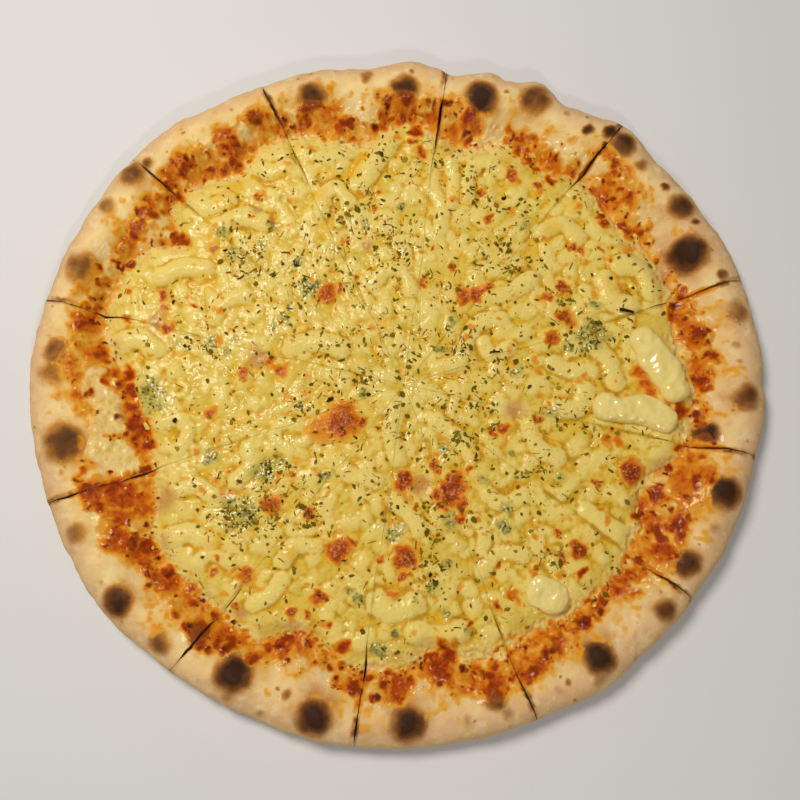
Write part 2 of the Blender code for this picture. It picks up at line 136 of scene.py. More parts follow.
def hubPlace():
    # the solids' own origin is the middle of the outline's box, taken at ten columns a slice
    angles = []
    for (start, *_), (end, *_) in zip(cuts, cuts[1:] + [(cuts[0][0] + 360,)]):
        angles += [start + (end - start) * i / 10 for i in range(10)]
    points = np.array([polar(a, roundTheRim(outlineReadings, a)) for a in angles])
    return -(points.min(axis=0) + points.max(axis=0)) / 2


hubX, hubY = hubPlace()

# sheets: values over the whole pizza in half-millimetre cells, from which every piece reads

sheetPlan = {"step": 0.5, "reach": 214.0, "warp": ((9, 1.3), (3.5, 0.6))}
sheetLine = np.arange(-sheetPlan["reach"], sheetPlan["reach"] + 0.1, sheetPlan["step"])
sheetX, sheetY = np.meshgrid(sheetLine, sheetLine)
sheetRadius = np.hypot(sheetX, sheetY)
sheetAngle = np.degrees(np.arctan2(sheetY, sheetX))


def readSheet(sheet, x, y, step=sheetPlan["step"]):
    # value between four cells
    last = len(sheet) - 2
    u, v = (x + sheetPlan["reach"]) / step, (y + sheetPlan["reach"]) / step
    i, j = np.clip(u.astype(int), 0, last), np.clip(v.astype(int), 0, last)
    u, v = np.clip(u - i, 0, 1), np.clip(v - j, 0, 1)
    low = sheet[j, i] * (1 - u) + sheet[j, i + 1] * u
    high = sheet[j + 1, i] * (1 - u) + sheet[j + 1, i + 1] * u
    return low * (1 - v) + high * v


def readAt(sheet, x, y):
    return readSheet(sheet, np.array([x]), np.array([y]))[0]


def swellSheet(size, seed):
    # the same slow swell that the solids have, read once a millimetre
    line = np.arange(-sheetPlan["reach"], sheetPlan["reach"] + 1.1, 1.0)
    coarse = np.array([[noise.noise(Vector((x / size, y / size, seed))) for x in line] for y in line])
    return readSheet(coarse, sheetX, sheetY, 1.0)


def lumpNoise(x, y, size, seed):
    # gradient noise, about -1 to 1, with lumps of a size in mm
    spin = np.random.default_rng(seed).uniform(0, 2 * np.pi, (256, 256))
    u, v = x / size + 700, y / size + 700
    i, j = u.astype(int), v.astype(int)
    u, v = u - i, v - j
    fadeU, fadeV = u**3 * (u * (u * 6 - 15) + 10), v**3 * (v * (v * 6 - 15) + 10)

    def corner(di, dj):
        turn = spin[(j + dj) % 256, (i + di) % 256]
        return np.cos(turn) * (u - di) + np.sin(turn) * (v - dj)

    low = corner(0, 0) + fadeU * (corner(1, 0) - corner(0, 0))
    high = corner(0, 1) + fadeU * (corner(1, 1) - corner(0, 1))
    return 1.5 * (low + fadeV * (high - low))


def ease(value, low, high):
    t = np.clip((value - low) / (high - low), 0, 1)
    return t * t * (3 - 2 * t)


def blurred(sheet, width):
    # three box blurs along each axis; the sheet is turned over after each
    cells = max(1, int(width / sheetPlan["step"] / 2))
    span = 2 * cells + 1
    for _ in range(6):
        sums = np.cumsum(np.pad(sheet, ((cells + 1, cells), (0, 0)), mode="edge"), axis=0)
        sheet = ((sums[span:] - sums[:-span]) / span).T
    return sheet


# the sheets are read through a slight warp, so that round stamps come out uneven
warpX, warpY = sheetX, sheetY
for seed, (size, amount) in enumerate(sheetPlan["warp"], 1):
    warpX = warpX + amount * lumpNoise(sheetX, sheetY, size, seed)
    warpY = warpY + amount * lumpNoise(sheetX, sheetY, size, seed + 2)


def windowAt(x, y, reach):
    step, edge = sheetPlan["step"], len(sheetLine)
    low = [max(0, int((c + sheetPlan["reach"] - reach) / step)) for c in (y, x)]
    high = [min(edge, int((c + sheetPlan["reach"] + reach) / step) + 2) for c in (y, x)]
    return slice(low[0], high[0]), slice(low[1], high[1])


def stampSpot(sheet, x, y, size, value, hard=0.5, warped=1.0, grow=1.6):
    # the sheet is raised to value inside a spot with soft sides
    view = windowAt(x, y, size * grow + 5)
    px = sheetX[view] + warped * (warpX[view] - sheetX[view])
    py = sheetY[view] + warped * (warpY[view] - sheetY[view])
    away = np.hypot(px - x, py - y) / size
    sheet[view] = np.maximum(sheet[view], value * ease(-away, -grow + (grow - 1) * hard, -hard))


def stampPatches(sheet, patches, larger, *look):
    for x, y, size in patches:
        stampSpot(sheet, x, y, size * larger, *look)


def stampBump(sheet, x, y, size, rise, power=0.6, stretch=1.0, way=0.0):
    # a rounded bump, longer one way, that joins its neighbours at a crease
    view = windowAt(x, y, size * stretch + 3)
    dx, dy = warpX[view] - x, warpY[view] - y
    along, across = dx * math.cos(way) + dy * math.sin(way), dy * math.cos(way) - dx * math.sin(way)
    away = np.hypot(along / stretch, across) / size
    sheet[view] = np.maximum(sheet[view], rise * np.maximum(1 - away**2, 0) ** power)


def curvePoints(points, count):
    # a smooth curve through the points
    places = []
    for t in np.linspace(0, 1, count):
        run = min(t * (len(points) - 1), len(points) - 1 - 1e-9)
        at = int(run)
        part = run - at
        before, after = points[max(at - 1, 0)], points[min(at + 2, len(points) - 1)]
        place = []
        for b, s, e, f in zip(before, points[at], points[at + 1], after):
            bend = (2 * b - 5 * s + 4 * e - f) * part**2 + (3 * s - b - 3 * e + f) * part**3
            place.append((2 * s + (e - b) * part + bend) / 2)
        places.append(place)
    return places


def stampStroke(sheet, points, half, rise, power=0.55):
    # a melted rope of cheese: nearest distance to its middle line sets its height
    line = np.array(curvePoints(points, 14))
    middle, reach = line.mean(axis=0), np.ptp(line, axis=0).max() / 2 + half + 3
    view = windowAt(*middle, reach)
    px, py = warpX[view] * 0.4 + sheetX[view] * 0.6, warpY[view] * 0.4 + sheetY[view] * 0.6
    nearest = np.full(px.shape, 1e9)
    for (ax, ay), (bx, by) in zip(line, line[1:]):
        run = np.clip(((px - ax) * (bx - ax) + (py - ay) * (by - ay)) / ((bx - ax)**2 + (by - ay)**2), 0, 1)
        nearest = np.minimum(nearest, np.hypot(px - ax - run * (bx - ax), py - ay - run * (by - ay)))
    sheet[view] = np.maximum(sheet[view], rise * np.maximum(1 - (nearest / half)**2, 0) ** power)


print("sheets ready")

# what the oven left on the rim: direction, distance, radius, rise, and how dark
blisters = [
    (12, 186, 8, 1.2, 0.45), (24.8, 173.7, 11, 3.4, 1), (32.8, 183.5, 8, 1.8, 0.85),
    (47.8, 184, 8, 1.8, 0.78), (65.5, 180.4, 10, 2.2, 0.68), (75, 170.6, 10, 3, 1),
    (89.7, 170.4, 9, 2.4, 0.82), (107.5, 172.9, 9, 2.6, 0.86), (118.8, 174.8, 7, 2, 0.7),
    (142, 193, 8, 1.6, 0.62), (160.2, 187.6, 10, 2.2, 0.58), (175, 188, 9, 1.4, 0.56),
    (178.3, 189.8, 9, 1, 0.45), (190.4, 183.8, 12, 2.8, 0.74), (205.2, 189.4, 7, 1.4, 0.4),
    (218.1, 187.6, 9, 2.2, 0.88), (231.2, 169, 7, 1.8, 0.85), (240.2, 174.6, 10.5, 3, 1),
    (255.2, 178.8, 10, 3, 1), (270.7, 176.3, 10, 2.4, 0.92), (285.8, 169.1, 7, 2, 0.78),
    (304.7, 174.7, 9, 2.8, 1), (318.4, 180.2, 7, 1.8, 0.7), (326.8, 175.4, 8, 2.2, 0.88),
    (340.5, 179, 9.5, 3, 0.96), (350.8, 165, 7, 1.8, 0.98), (357.4, 184.4, 8.5, 2.2, 0.66),
]
# small toasted places on the rim: direction, distance, radius, how dark
toastedDots = [
    (3.8, 182.1, 2.1, 0.3), (6.4, 181.7, 2.6, 0.3), (18.8, 185.9, 3.2, 0.6), (29.2, 185.4, 2.1, 0.75),
    (37.2, 183.6, 2.6, 0.7), (39.9, 179.8, 1.6, 0.5), (43, 182.2, 4.2, 0.55), (50.9, 184.9, 4.2, 0.95),
    (54.3, 178.8, 3.2, 0.9), (59.2, 181.2, 2.1, 0.35), (96.7, 180.2, 3.7, 0.5), (110.1, 164.4, 3.7, 0.75),
    (112.7, 179.3, 3.2, 0.45), (119, 171, 3.2, 0.95), (126, 186.4, 3.2, 0.42), (139, 191, 3.7, 0.62),
    (148.7, 193.4, 5.3, 0.45), (153.5, 182.9, 2.6, 0.6), (159.1, 180.6, 3.2, 0.9), (190.9, 175.3, 3.7, 0.85),
    (195.8, 178.9, 2.1, 0.6), (197.7, 179.3, 2.1, 0.6), (227.5, 184.8, 5.8, 0.55), (241, 185.1, 4.7, 0.35),
    (247, 185.9, 3.2, 0.25), (249.9, 172.4, 3.2, 0.45), (280.3, 177.8, 3.2, 0.25), (282, 168, 1.6, 0.55),
    (287.1, 178.5, 3.7, 0.35), (296.4, 178, 2.6, 0.25), (298.5, 176.9, 2.1, 0.5), (303.1, 182.7, 4.7, 0.4),
    (334.3, 179.5, 3.7, 0.3), (335.4, 170.8, 2.6, 0.3),
]
# shiny brown bubbles, mostly where sauce met the rim: x, y, radius, how dark
shinyBubbles = [
    (163, 28, 5, 0.92), (-86, 156, 6, 0.93), (94, -127, 5.5, 0.95), (-42, 165, 3, 0.9),
    (-104, -137, 3.5, 0.9), (-90, -139, 4, 0.92), (2, 165, 7, 0.8), (38, 155, 6, 0.76), (-95, 139, 5, 0.8),
    (-96, 130, 4, 0.8), (-33, 153, 5, 0.85), (-57, 160, 4, 0.85), (-143, -85, 6, 0.86), (-147, -23, 5, 0.9),
    (-156, 2, 4, 0.85), (155, -53, 3, 0.8), (162, -53, 2.5, 0.8), (122, -47, 7, 0.86), (45, -163, 5.5, 0.8),
    (119, 126, 3, 0.8), (-106, 147, 3.5, 0.72), (-109, 125, 3, 0.7), (-123, 131, 4, 0.62),
    (126, 107, 1.5, 0.8), (107, -130, 3, 0.7), (-168, 16, 5, 0.66), (-140, -45, 4, 0.9),
    (-109, -130, 6, 0.92), (-63, -136, 4, 0.88), (145, -75, 3.5, 0.8),
]
# browned cheese and sauce: x, y, radius, how dark
brownSpots = [
    (-113, 156, 2.5, 0.4), (-101, 137, 3, 0.75), (-92, 123, 1.5, 0.7), (-131, 126, 3, 0.6),
    (-120, 126, 4, 0.6), (-115, 132, 2, 0.6), (-143, 126, 4, 0.9), (-135, 122, 3, 0.7), (-145, 104, 4, 0.65),
    (-142, 98, 4, 0.7), (-147, 95, 4, 0.65), (-152, 88, 4, 0.6), (-155, 83, 4, 0.6), (-157, 77, 3.5, 0.55),
    (-166, 86, 2.5, 0.4), (-125, 85, 4.5, 0.75), (-137, 87, 1.5, 0.7), (-107, 76, 3, 0.7), (-83, 107, 2, 0.7),
    (-85, 97, 1.5, 0.6), (-13, 168, 4, 0.4), (-23, 162, 2, 0.7), (28, 165, 5, 0.4), (17, 163, 4, 0.85),
    (-46, 145, 3, 0.45), (-57, 138, 2, 0.7), (5, 141, 3, 0.8), (10, 136, 3, 0.85), (38, 144, 4, 0.8),
    (62, 121, 5, 0.7), (45, 112, 2.5, 0.7), (49, 95, 3, 0.7), (-15, 112, 2, 0.7), (-15, 102, 2, 0.7),
    (16, 79, 1.5, 0.8), (68, 145, 4, 0.4), (65, 136, 3, 0.7), (118, 116, 3, 0.7), (112, 97, 2.5, 0.85),
    (115, 93, 3, 0.8), (125, 92, 4, 0.75), (73, 145, 4, 0.75), (72, 133, 4, 0.65), (75, 127, 3, 0.7),
    (85, 120, 3.5, 0.85), (76, 115, 3, 0.75), (97, 124, 3, 0.75), (95, 78, 3.5, 0.75), (111, 77, 2, 0.7),
    (100, 76, 2.5, 0.85), (115, 70, 2.5, 0.6), (-183, 67, 4, 0.6), (-173, 65, 4, 0.75), (-183, 10, 6, 0.45),
    (-178, 5, 4, 0.45), (-188, 50, 4, 0.45), (-176, 30, 4, 0.5), (-158, 8, 3.5, 0.65), (-148, -15, 3, 0.85),
    (-160, -30, 2, 0.8), (-153, 53, 3, 0.7), (-134, 51, 4, 0.75), (-133, 43, 3, 0.7), (-131, 32, 4, 0.7),
    (-153, 37, 2, 0.7), (-105, -15, 4.5, 0.65), (-68, 8, 5, 0.65), (-73, 13, 3, 0.6), (-88, 6, 4, 0.7),
    (-117, 45, 2, 0.7), (-33, -20, 11, 0.72), (-33, -27, 4, 0.95), (-23, -20, 4, 0.9), (-45, -22, 6, 0.35),
    (33, 50, 5, 0.7), (41, 52, 6, 0.75), (48, 55, 4, 0.95), (27, 68, 3, 0.7), (-43, 52, 6, 0.62),
    (-27, 61, 2, 0.7), (-35, 55, 2.5, 0.7), (0, -53, 6, 0.8), (27, -55, 8, 0.8), (22, -57, 3, 0.95),
    (17, -45, 3, 0.7), (35, -46, 3, 0.7), (49, -25, 2.5, 0.7), (55, -25, 3, 0.7), (12, 58, 3, 0.7),
    (-58, -51, 2, 0.7), (155, 50, 3.5, 0.6), (150, 42, 4, 0.65), (160, 5, 4, 0.6), (130, 6, 4.5, 0.4),
    (135, -2, 3.5, 0.45), (144, -9, 3, 0.5), (110, -30, 4, 0.4), (117, -31, 4, 0.4), (72, -20, 4, 0.7),
    (117, -54, 1.5, 0.85), (103, -53, 3, 0.7), (150, -33, 3, 0.65), (88, 55, 4, 0.75), (80, 50, 3.5, 0.7),
    (90, 38, 5, 0.75), (82, 27, 4, 0.7), (-137, -95, 4, 0.7), (-118, -122, 2, 0.7), (-88, -118, 3, 0.7),
    (-100, -101, 4, 0.65), (-98, -94, 2, 0.7), (-83, -102, 5, 0.65), (-70, -65, 6, 0.65), (-50, -70, 4, 0.8),
    (-35, -90, 7, 0.75), (-28, -86, 3, 0.7), (2, -93, 7, 0.85), (-12, -93, 3, 0.6), (0, -103, 3, 0.6),
    (-45, -114, 4, 0.75), (-5, -112, 3, 0.4), (-60, -120, 3, 0.7), (-50, -123, 3, 0.75), (-40, -128, 3, 0.75),
    (18, -60, 4, 0.8), (25, -62, 5, 0.9), (31, -66, 4, 0.85), (20, -67, 4, 0.8), (5, -66, 2, 0.8),
    (30, -72, 3, 0.8), (48, -116, 3, 0.85), (58, -113, 4, 0.45), (35, -127, 3, 0.7), (50, -97, 2, 0.7),
    (20, -137, 4, 0.55), (-50, -135, 4, 0.65), (20, -152, 8, 0.6), (-8, -152, 4, 0.7), (-10, -160, 3, 0.8),
    (0, -165, 3, 0.75), (3, -157, 2.5, 0.7), (45, -153, 4, 0.6), (36, -165, 1.5, 0.7), (67, -150, 4, 0.75),
    (-62, -165, 3, 0.45), (92, -88, 5, 0.85), (83, -80, 2.5, 0.75), (83, -95, 3, 0.75), (95, -101, 3, 0.75),
    (70, -97, 2.5, 0.7), (127, -70, 4, 0.8), (135, -82, 3.5, 0.8), (140, -93, 3, 0.75), (137, -121, 5, 0.6),
    (86, -156, 2, 0.6), (76, -137, 4, 0.6), (65, -155, 3, 0.6), (122, -115, 1.5, 0.8),
]
# orange tomato and oil: x, y, radius, strength
glazePatches = [
    (-90, 162, 7, 0.7), (-85, 154, 8, 0.9), (-102, 144, 7, 0.9), (-97, 136, 8, 0.9), (-150, 114, 8, 0.85),
    (-146, 102, 9, 0.95), (-150, 92, 8, 0.95), (-156, 80, 8, 0.9), (-128, 128, 9, 0.75), (-115, 130, 8, 0.6),
    (-96, 128, 6, 0.7), (-135, 120, 8, 0.9), (-52, 163, 9, 0.9), (-40, 158, 8, 0.8), (-13, 168, 6, 0.8),
    (0, 160, 10, 0.85), (28, 165, 8, 0.9), (38, 152, 9, 0.85), (17, 158, 6, 0.85), (-33, 150, 8, 0.8),
    (-46, 145, 5, 0.7), (10, 138, 6, 0.7), (40, 142, 6, 0.7), (68, 145, 7, 0.8), (74, 135, 8, 0.75),
    (112, 108, 10, 0.9), (120, 120, 10, 0.95), (125, 105, 8, 0.9), (118, 132, 7, 0.9), (97, 143, 5, 0.7),
    (112, 142, 5, 0.8), (110, 95, 7, 0.8), (84, 118, 7, 0.7), (97, 124, 5, 0.7), (-183, 10, 8, 0.85),
    (-178, -10, 7, 0.9), (-175, -20, 6, 0.7), (-188, 50, 6, 0.7), (-176, 32, 7, 0.8), (-168, 18, 8, 0.9),
    (-160, 8, 7, 0.85), (-155, 0, 7, 0.8), (-150, -62, 12, 1), (-138, -66, 8, 0.9), (-160, -58, 7, 0.9),
    (-147, -23, 7, 0.8), (-140, -45, 6, 0.8), (-175, 62, 7, 0.8), (-150, -85, 11, 1), (-140, -92, 9, 0.95),
    (-125, -105, 10, 0.9), (-110, -112, 9, 0.85), (-150, -72, 9, 0.95), (-105, -128, 8, 0.9),
    (-94, -134, 8, 0.9), (-118, -120, 6, 0.6), (-63, -137, 9, 0.9), (-52, -137, 8, 0.9), (-75, -140, 8, 0.8),
    (-40, -140, 7, 0.7), (20, -150, 11, 0.95), (-5, -158, 11, 0.85), (45, -158, 10, 0.9), (63, -150, 9, 0.85),
    (30, -158, 9, 0.8), (-62, -163, 6, 0.6), (0, -148, 8, 0.7), (160, 28, 10, 0.9), (155, 42, 9, 0.9),
    (160, 8, 9, 0.85), (168, 15, 6, 0.7), (150, -52, 12, 0.7), (160, -50, 8, 0.7), (150, -33, 8, 0.7),
    (163, -15, 6, 0.6), (130, -68, 12, 0.9), (145, -78, 10, 0.95), (135, -90, 9, 0.9), (150, -62, 9, 0.65),
    (112, -108, 10, 0.9), (102, -115, 8, 0.85), (120, -100, 8, 0.8), (78, -138, 9, 0.85), (92, -128, 9, 0.9),
    (70, -148, 8, 0.8), (137, -112, 5, 0.6), (-45, -25, 9, 0.55), (129, 7, 4.5, 0.85), (132.5, 0, 4.5, 0.9),
    (136.5, -4, 3.5, 0.85), (144, -9, 3.5, 0.8),
]
# red tomato that shows between the cheese and the rim: x, y, radius
tomatoPatches = [
    (-152, 6, 4), (-151, -2, 3.5), (-149, -10, 4), (-147, -18, 4.5), (-141, -25, 5), (-139, -33, 3.5),
    (-165, -60, 6), (-154, -56, 6), (-160, -66, 4), (-136, -88, 4), (163, 3, 4), (152, -14, 4), (23, -143, 5),
    (8, 150, 4), (-128, 110, 3.5), (66, 138, 3.5), (-31, -139, 4), (136, -60, 5), (-150, 86, 4),
]
# pinkish places where sauce shows through: x, y, radius
pinkPatches = [
    (-82, 101, 3), (-30, 147, 5), (72, 133, 4), (-20, 80, 3), (-136, 35, 5), (-80, 15, 6), (-43, 52, 6),
    (8, -55, 6), (60, -14, 6), (90, 38, 5), (-85, -122, 4), (130, -65, 6), (135, -73, 5), (-150, -15, 6),
    (-50, -135, 5), (20, -150, 6), (-95, -60, 4), (140, -45, 5), (-128, -62, 6), (147, 62, 4), (-118, 118, 4),
]
# grey-green veined cheese: x, y, radius
mouldPatches = [
    (-95, 76, 4), (-102, 88, 3), (-74, 92, 3), (-80, 82, 3), (-137, 82, 3), (68, 91, 3.5), (-2, 103, 3),
    (-22, 92, 2.5), (-138, -6, 9), (-139, 2, 3), (-137, -12, 3), (-141, -16, 2.5), (-105, -40, 4),
    (-97, 18, 3), (-92, 25, 2.5), (-125, 24, 2.5), (-105, 24, 3), (-72, 33, 3), (-75, -48, 7), (-52, 56, 6),
    (-66, -43, 4), (-63, 44, 2.5), (-66, 36, 3), (-22, -5, 2.5), (-56, -12, 3), (22, -35, 4), (58, -39, 2.5),
    (44, -52, 3), (62, 8, 3), (27, 20, 2.5), (19, 20, 2.5), (27, 35, 3), (-60, 70, 3), (-42, -50, 3),
    (100, 20, 3), (90, 22, 3), (114, 26, 2.5), (105, 33, 4), (107, 45, 3), (104, 28, 8), (80, -15, 4),
    (85, -50, 3), (-92, -65, 4), (-85, -70, 7), (-93, -75, 4), (-58, -136, 2.5), (-13, -140, 5),
    (-5, -133, 3), (-5, -80, 5), (25, -73, 5), (53, -77, 4), (55, -67, 3), (22, -96, 3), (15, -108, 3),
    (-28, -111, 2), (-24, -115, 3), (5, -116, 2), (22, -122, 2.5), (33, -131, 3),
]
# melted cheese lying on the sauce beyond the sheet's edge: x, y, radius
curdPatches = [
    (-160, -14, 8), (-154, -20, 7), (-154, -38, 9), (-161, -38, 6), (-145, -45, 5), (155, 18, 5),
    (-98, 152, 4), (-117, 140, 3), (138, -52, 5), (-158, 2, 4), (50, -143, 5), (-30, -146, 5), (-165, 6, 3),
]
# yellow oil that stands in the creases: x, y, radius
oilPools = [
    (-108, 84, 4), (-103, 108, 4), (-97, 115, 4), (-68, 119, 4), (-28, 125, 3), (-24, 133, 3), (-20, 145, 3),
    (-3, 145, 3), (-2, 133, 3), (9, 119, 3), (-47, 122, 3), (-48, 110, 3), (-42, 123, 3), (32, 107, 4),
    (-45, 90, 4), (85, 90, 4), (97, 104, 4), (-123, 15, 4), (-110, 60, 4), (117, 57, 4), (128, 60, 3.5),
    (-90, -20, 4), (-100, -85, 4), (40, -35, 4), (20, 5, 3), (-10, 35, 4), (70, 75, 4), (-60, -90, 4),
]

# soft and shredded cheese strokes: width, then points along the middle
strokes = [
    (13, (-25, 116), (-18, 128), (-10, 140)), (9, (-52, 134), (-40, 133), (-30, 138)),
    (9, (-47, 100), (-45, 110), (-37, 114), (-31, 106)), (8, (27, 130), (29, 118), (27, 105)),
    (8, (17, 113), (22, 103), (20, 88)), (9, (36, 108), (37, 121), (45, 130), (56, 124)),
    (9, (22, 10), (31, 14), (35, 25), (42, 35), (54, 37)), (8, (44, 24), (49, 17), (58, 21)),
    (10, (71, 60), (60, 53), (47, 50)), (12, (-60, 22), (-48, 25), (-35, 21)),
    (9, (-17, 57), (-9, 66), (0, 64), (4, 54)), (10, (-4, -14), (-7, -27), (-3, -40)),
    (10, (18, -20), (27, -27), (36, -38)), (7, (-57, -22), (-66, -21), (-70, -29), (-62, -36)),
    (9, (-37, -41), (-29, -49), (-15, -53)), (13, (113, 59), (116, 48), (125, 44)),
    (13, (121, 68), (133, 66), (138, 54)), (11, (106, 22), (113, 12), (116, 2)),
    (11, (86, -13), (95, -12), (99, -3)), (9, (82, 12), (92, 8), (103, 8)),
    (10, (98, -68), (108, -76), (116, -81)), (11, (-135, 62), (-124, 67), (-111, 66)),
    (9, (-88, 51), (-99, 47), (-105, 38)), (12, (-155, 24), (-146, 26), (-137, 20)),
    (8, (-132, -21), (-122, -19), (-117, -27), (-122, -36)), (9, (-84, -34), (-83, -45), (-90, -53)),
    (9, (-122, -58), (-112, -55), (-103, -60)), (11, (-125, -84), (-114, -80), (-103, -85)),
    (8, (-110, -97), (-103, -91), (-92, -95)), (9, (-64, -104), (-70, -112), (-79, -117)),
    (9, (-64, -95), (-58, -87), (-46, -87)), (13, (-14, -116), (-5, -121), (6, -117)),
    (12, (6, -131), (17, -134), (29, -131)), (9, (42, -100), (50, -91), (63, -92)),
    (10, (-5, -63), (2, -69), (8, -78)), (9, (45, -60), (54, -65), (64, -60)),
    (8, (37, -73), (43, -80), (42, -90)), (12, (-117, 106), (-109, 102), (-100, 106)),
    (12, (-104, 92), (-92, 97), (-80, 94)), (10, (-84, 128), (-75, 124), (-67, 127)),
    (10, (78, 88), (90, 92), (98, 84)), (10, (68, -22), (72, -34), (83, -40)),
]

# seeded strokes and lumps between the ones read from the look of the real cheese
looseCheese = {
    "strokes": 190, "strokeLength": (6, 16), "strokeHalf": (2.2, 4.0), "strokeRise": (0.8, 1.5), "bend": 1.2,
    "strokeReach": 160, "lumps": 2300, "lumpSize": (1.8, 5.6), "lumpRise": 0.27, "lumpReach": 168, "seed": 29,
}


def cheeseRelief():
    relief, look = np.zeros_like(sheetX), looseCheese
    draw = random.Random(look["seed"])
    for _ in range(look["lumps"]):
        x, y = polar(draw.uniform(0, 360), look["lumpReach"] * math.sqrt(draw.random()))
        size = draw.uniform(*look["lumpSize"])
        stampBump(relief, x, y, size, size * look["lumpRise"] * draw.uniform(0.6, 1.3), 0.75,
                  draw.uniform(1, 2.2), draw.uniform(0, 3.14))
    for _ in range(look["strokes"]):
        x, y = polar(draw.uniform(0, 360), look["strokeReach"] * math.sqrt(draw.random()))
        way, length = draw.uniform(0, 2 * math.pi), draw.uniform(*look["strokeLength"])
        bend = draw.uniform(-1, 1) * look["bend"]
        points = [(x, y)]
        for _ in range(3):
            way += bend
            x, y = x + math.cos(way) * length / 3, y + math.sin(way) * length / 3
            points.append((x, y))
        stampStroke(relief, points, draw.uniform(*look["strokeHalf"]), draw.uniform(*look["strokeRise"]), 0.8)
    for width, *points in strokes:
        stampStroke(relief, points, width / 2 + 1.0, width * plan["strokeRise"] * 1.05, 0.8)
    return 0.38 * relief + 0.36 * blurred(relief, 1.3)


def cutDistances():
    # distance to the nearest cut
    nearest = np.full_like(sheetX, 99.0)
    for angle, *_ in cuts:
        ux, uy = polar(angle, 1)
        beside = np.abs(sheetX * uy - sheetY * ux)
        ahead = sheetX * ux + sheetY * uy > 0
        nearest = np.where(ahead, np.minimum(nearest, beside), nearest)
    return nearest


puffSheet = swellSheet(45, 3.1)
swell = 0.9 * swellSheet(30, 0.4) + 0.5 * swellSheet(14, 7.7)
cutAway = cutDistances()
cheeseEdge = around(cheeseTable, sheetAngle)
sauceEdge = around(sauceTable, sheetAngle)
rimEdge = around(outlineTable, sheetAngle)
# unevenness in four sizes of lump, in mm
lumpSizes = {"fine": 1.3, "small": 2.6, "medium": 6.5, "large": 17}
fine, small, medium, large = (
    lumpNoise(sheetX, sheetY, size, seed) for seed, size in enumerate(lumpSizes.values(), 11)
)
edgeRagged = cheeseEdge + np.clip(0.6 + 4.0 * medium + 2.4 * small + 2.2 * large, -5.5, 4.8)


def crustTop(x, y):
    # the solids' own rule: flat under the toppings, then the puffed rim with its blisters
    angle, radius = np.degrees(np.arctan2(y, x)), np.hypot(x, y)
    start, edge = around(cheeseTable, angle), around(outlineTable, angle)
    crest = edge - plan["crestInset"]
    puff = plan["rimHeight"] * (1 + plan["rimUneven"] * readSheet(puffSheet, x, y))
    share = np.clip((radius - start) / (crest - start), 0, 1)
    inner = plan["baseThick"] + (puff - plan["baseThick"]) * np.sin(share * np.pi / 2) ** 1.25
    share = np.clip((radius - crest) / plan["crestInset"], 0, 1)
    outer = plan["bellyHeight"] + (puff - plan["bellyHeight"]) * np.sqrt(1 - share**2)
    height = np.where(radius < crest, inner, outer)
    rise = np.zeros_like(height)
    for turn, far, size, top, _ in blisters:
        bx, by = polar(turn, far)
        rise += top * np.exp(-((x - bx) ** 2 + (y - by) ** 2) / size**2)
    return height + rise * np.clip((height - plan["baseThick"]) / 6, 0, 1)


rimLook = {"pimples": 240, "drips": 150, "seed": 5}


def rimSheets():
    # how dark the rim is, the drips on it, and its small relief
    bake, relief = np.zeros_like(sheetX), np.zeros_like(sheetX)
    for turn, far, size, _, dark in blisters:
        x, y = polar(turn, far)
        stampSpot(bake, x, y, size * 0.84, dark, 0.3, 0.6, 2.0)
    for turn, far, size, dark in toastedDots:
        x, y = polar(turn, far)
        dark *= 0.3 if far < around(sauceTable, turn) + 6 else 1
        stampSpot(bake, x, y, size * 0.9, dark, 0.25, 1.1, 2.0)
        stampBump(relief, x, y, size * 1.2, 0.16 * size)
    draw = random.Random(rimLook["seed"])
    for _ in range(rimLook["pimples"]):
        turn, inset = draw.uniform(0, 360), draw.uniform(2, 34)
        x, y = polar(turn, around(outlineTable, turn) - inset)
        size = draw.uniform(0.5, 1.6)
        stampBump(relief, x, y, size * 1.6, 0.2 * size)
        if draw.random() < 0.5:
            stampSpot(bake, x, y, size, draw.uniform(0.15, 0.5), 0.3, 1.0, 1.8)
    drips = np.zeros_like(sheetX)
    for _ in range(rimLook["drips"]):
        # drips of tomato and oil that ran up the inner side
        turn = draw.uniform(0, 360)
        x, y = polar(turn, around(outlineTable, turn) - 15 - draw.expovariate(0.16))
        stampSpot(drips, x, y, draw.uniform(0.6, 2.6), draw.uniform(0.2, 0.6), 0.0, 2.2, 2.3)
    # stained in cloudy patches on the inner side, and a little further out
    inner = ease(rimEdge - 9 - sheetRadius, -6, 10)
    cloudy = 0.7 * medium + 0.6 * large + 0.35 * small + 0.15 * fine
    drips = np.maximum(drips, ease(cloudy, 0.05, 0.95) * inner * 0.7)
    bake = np.maximum(bake, 0.30 * ease(cloudy + 0.5 * puffSheet, 0.1, 1.3) * (0.35 + 0.65 * inner))
    for turn, far, size, _, dark in blisters:
        # the scorched ring round a char reaches furthest on its inner side
        x, y = polar(turn, far - 0.35 * size)
        stampSpot(bake, x, y, size * 1.1, 0.30 * dark + 0.05, 0.1, 1.6, 2.0)
    # the cut edges are toasted, most where the sauce ends
    torn = ease(-cutAway, -3.4, -0.5) * ease(sheetRadius, cheeseEdge - 4, cheeseEdge + 6)
    bake = np.maximum(bake, torn * np.clip(0.42 + 0.4 * medium + 0.3 * small, 0, 0.85) * ease(large, -0.9, 0.4))
    drips = np.maximum(drips, torn * ease(rimEdge - 14 + 5 * medium - sheetRadius, 0, 8) * 0.9)
    drips *= 1 - ease(bake, 0.3, 0.6)
    puffs = lumpNoise(sheetX, sheetY, 30, 15)
    relief += 0.75 * puffs + 0.75 * large + 0.45 * medium + 0.12 * small + 0.04 * fine
    return np.clip(bake * (1 + 0.09 * small + (0.5 - 0.4 * bake) * medium), 0, 1), drips, relief


bakeSheet, dripSheet, rimRelief = rimSheets()
print("rim sheets ready")


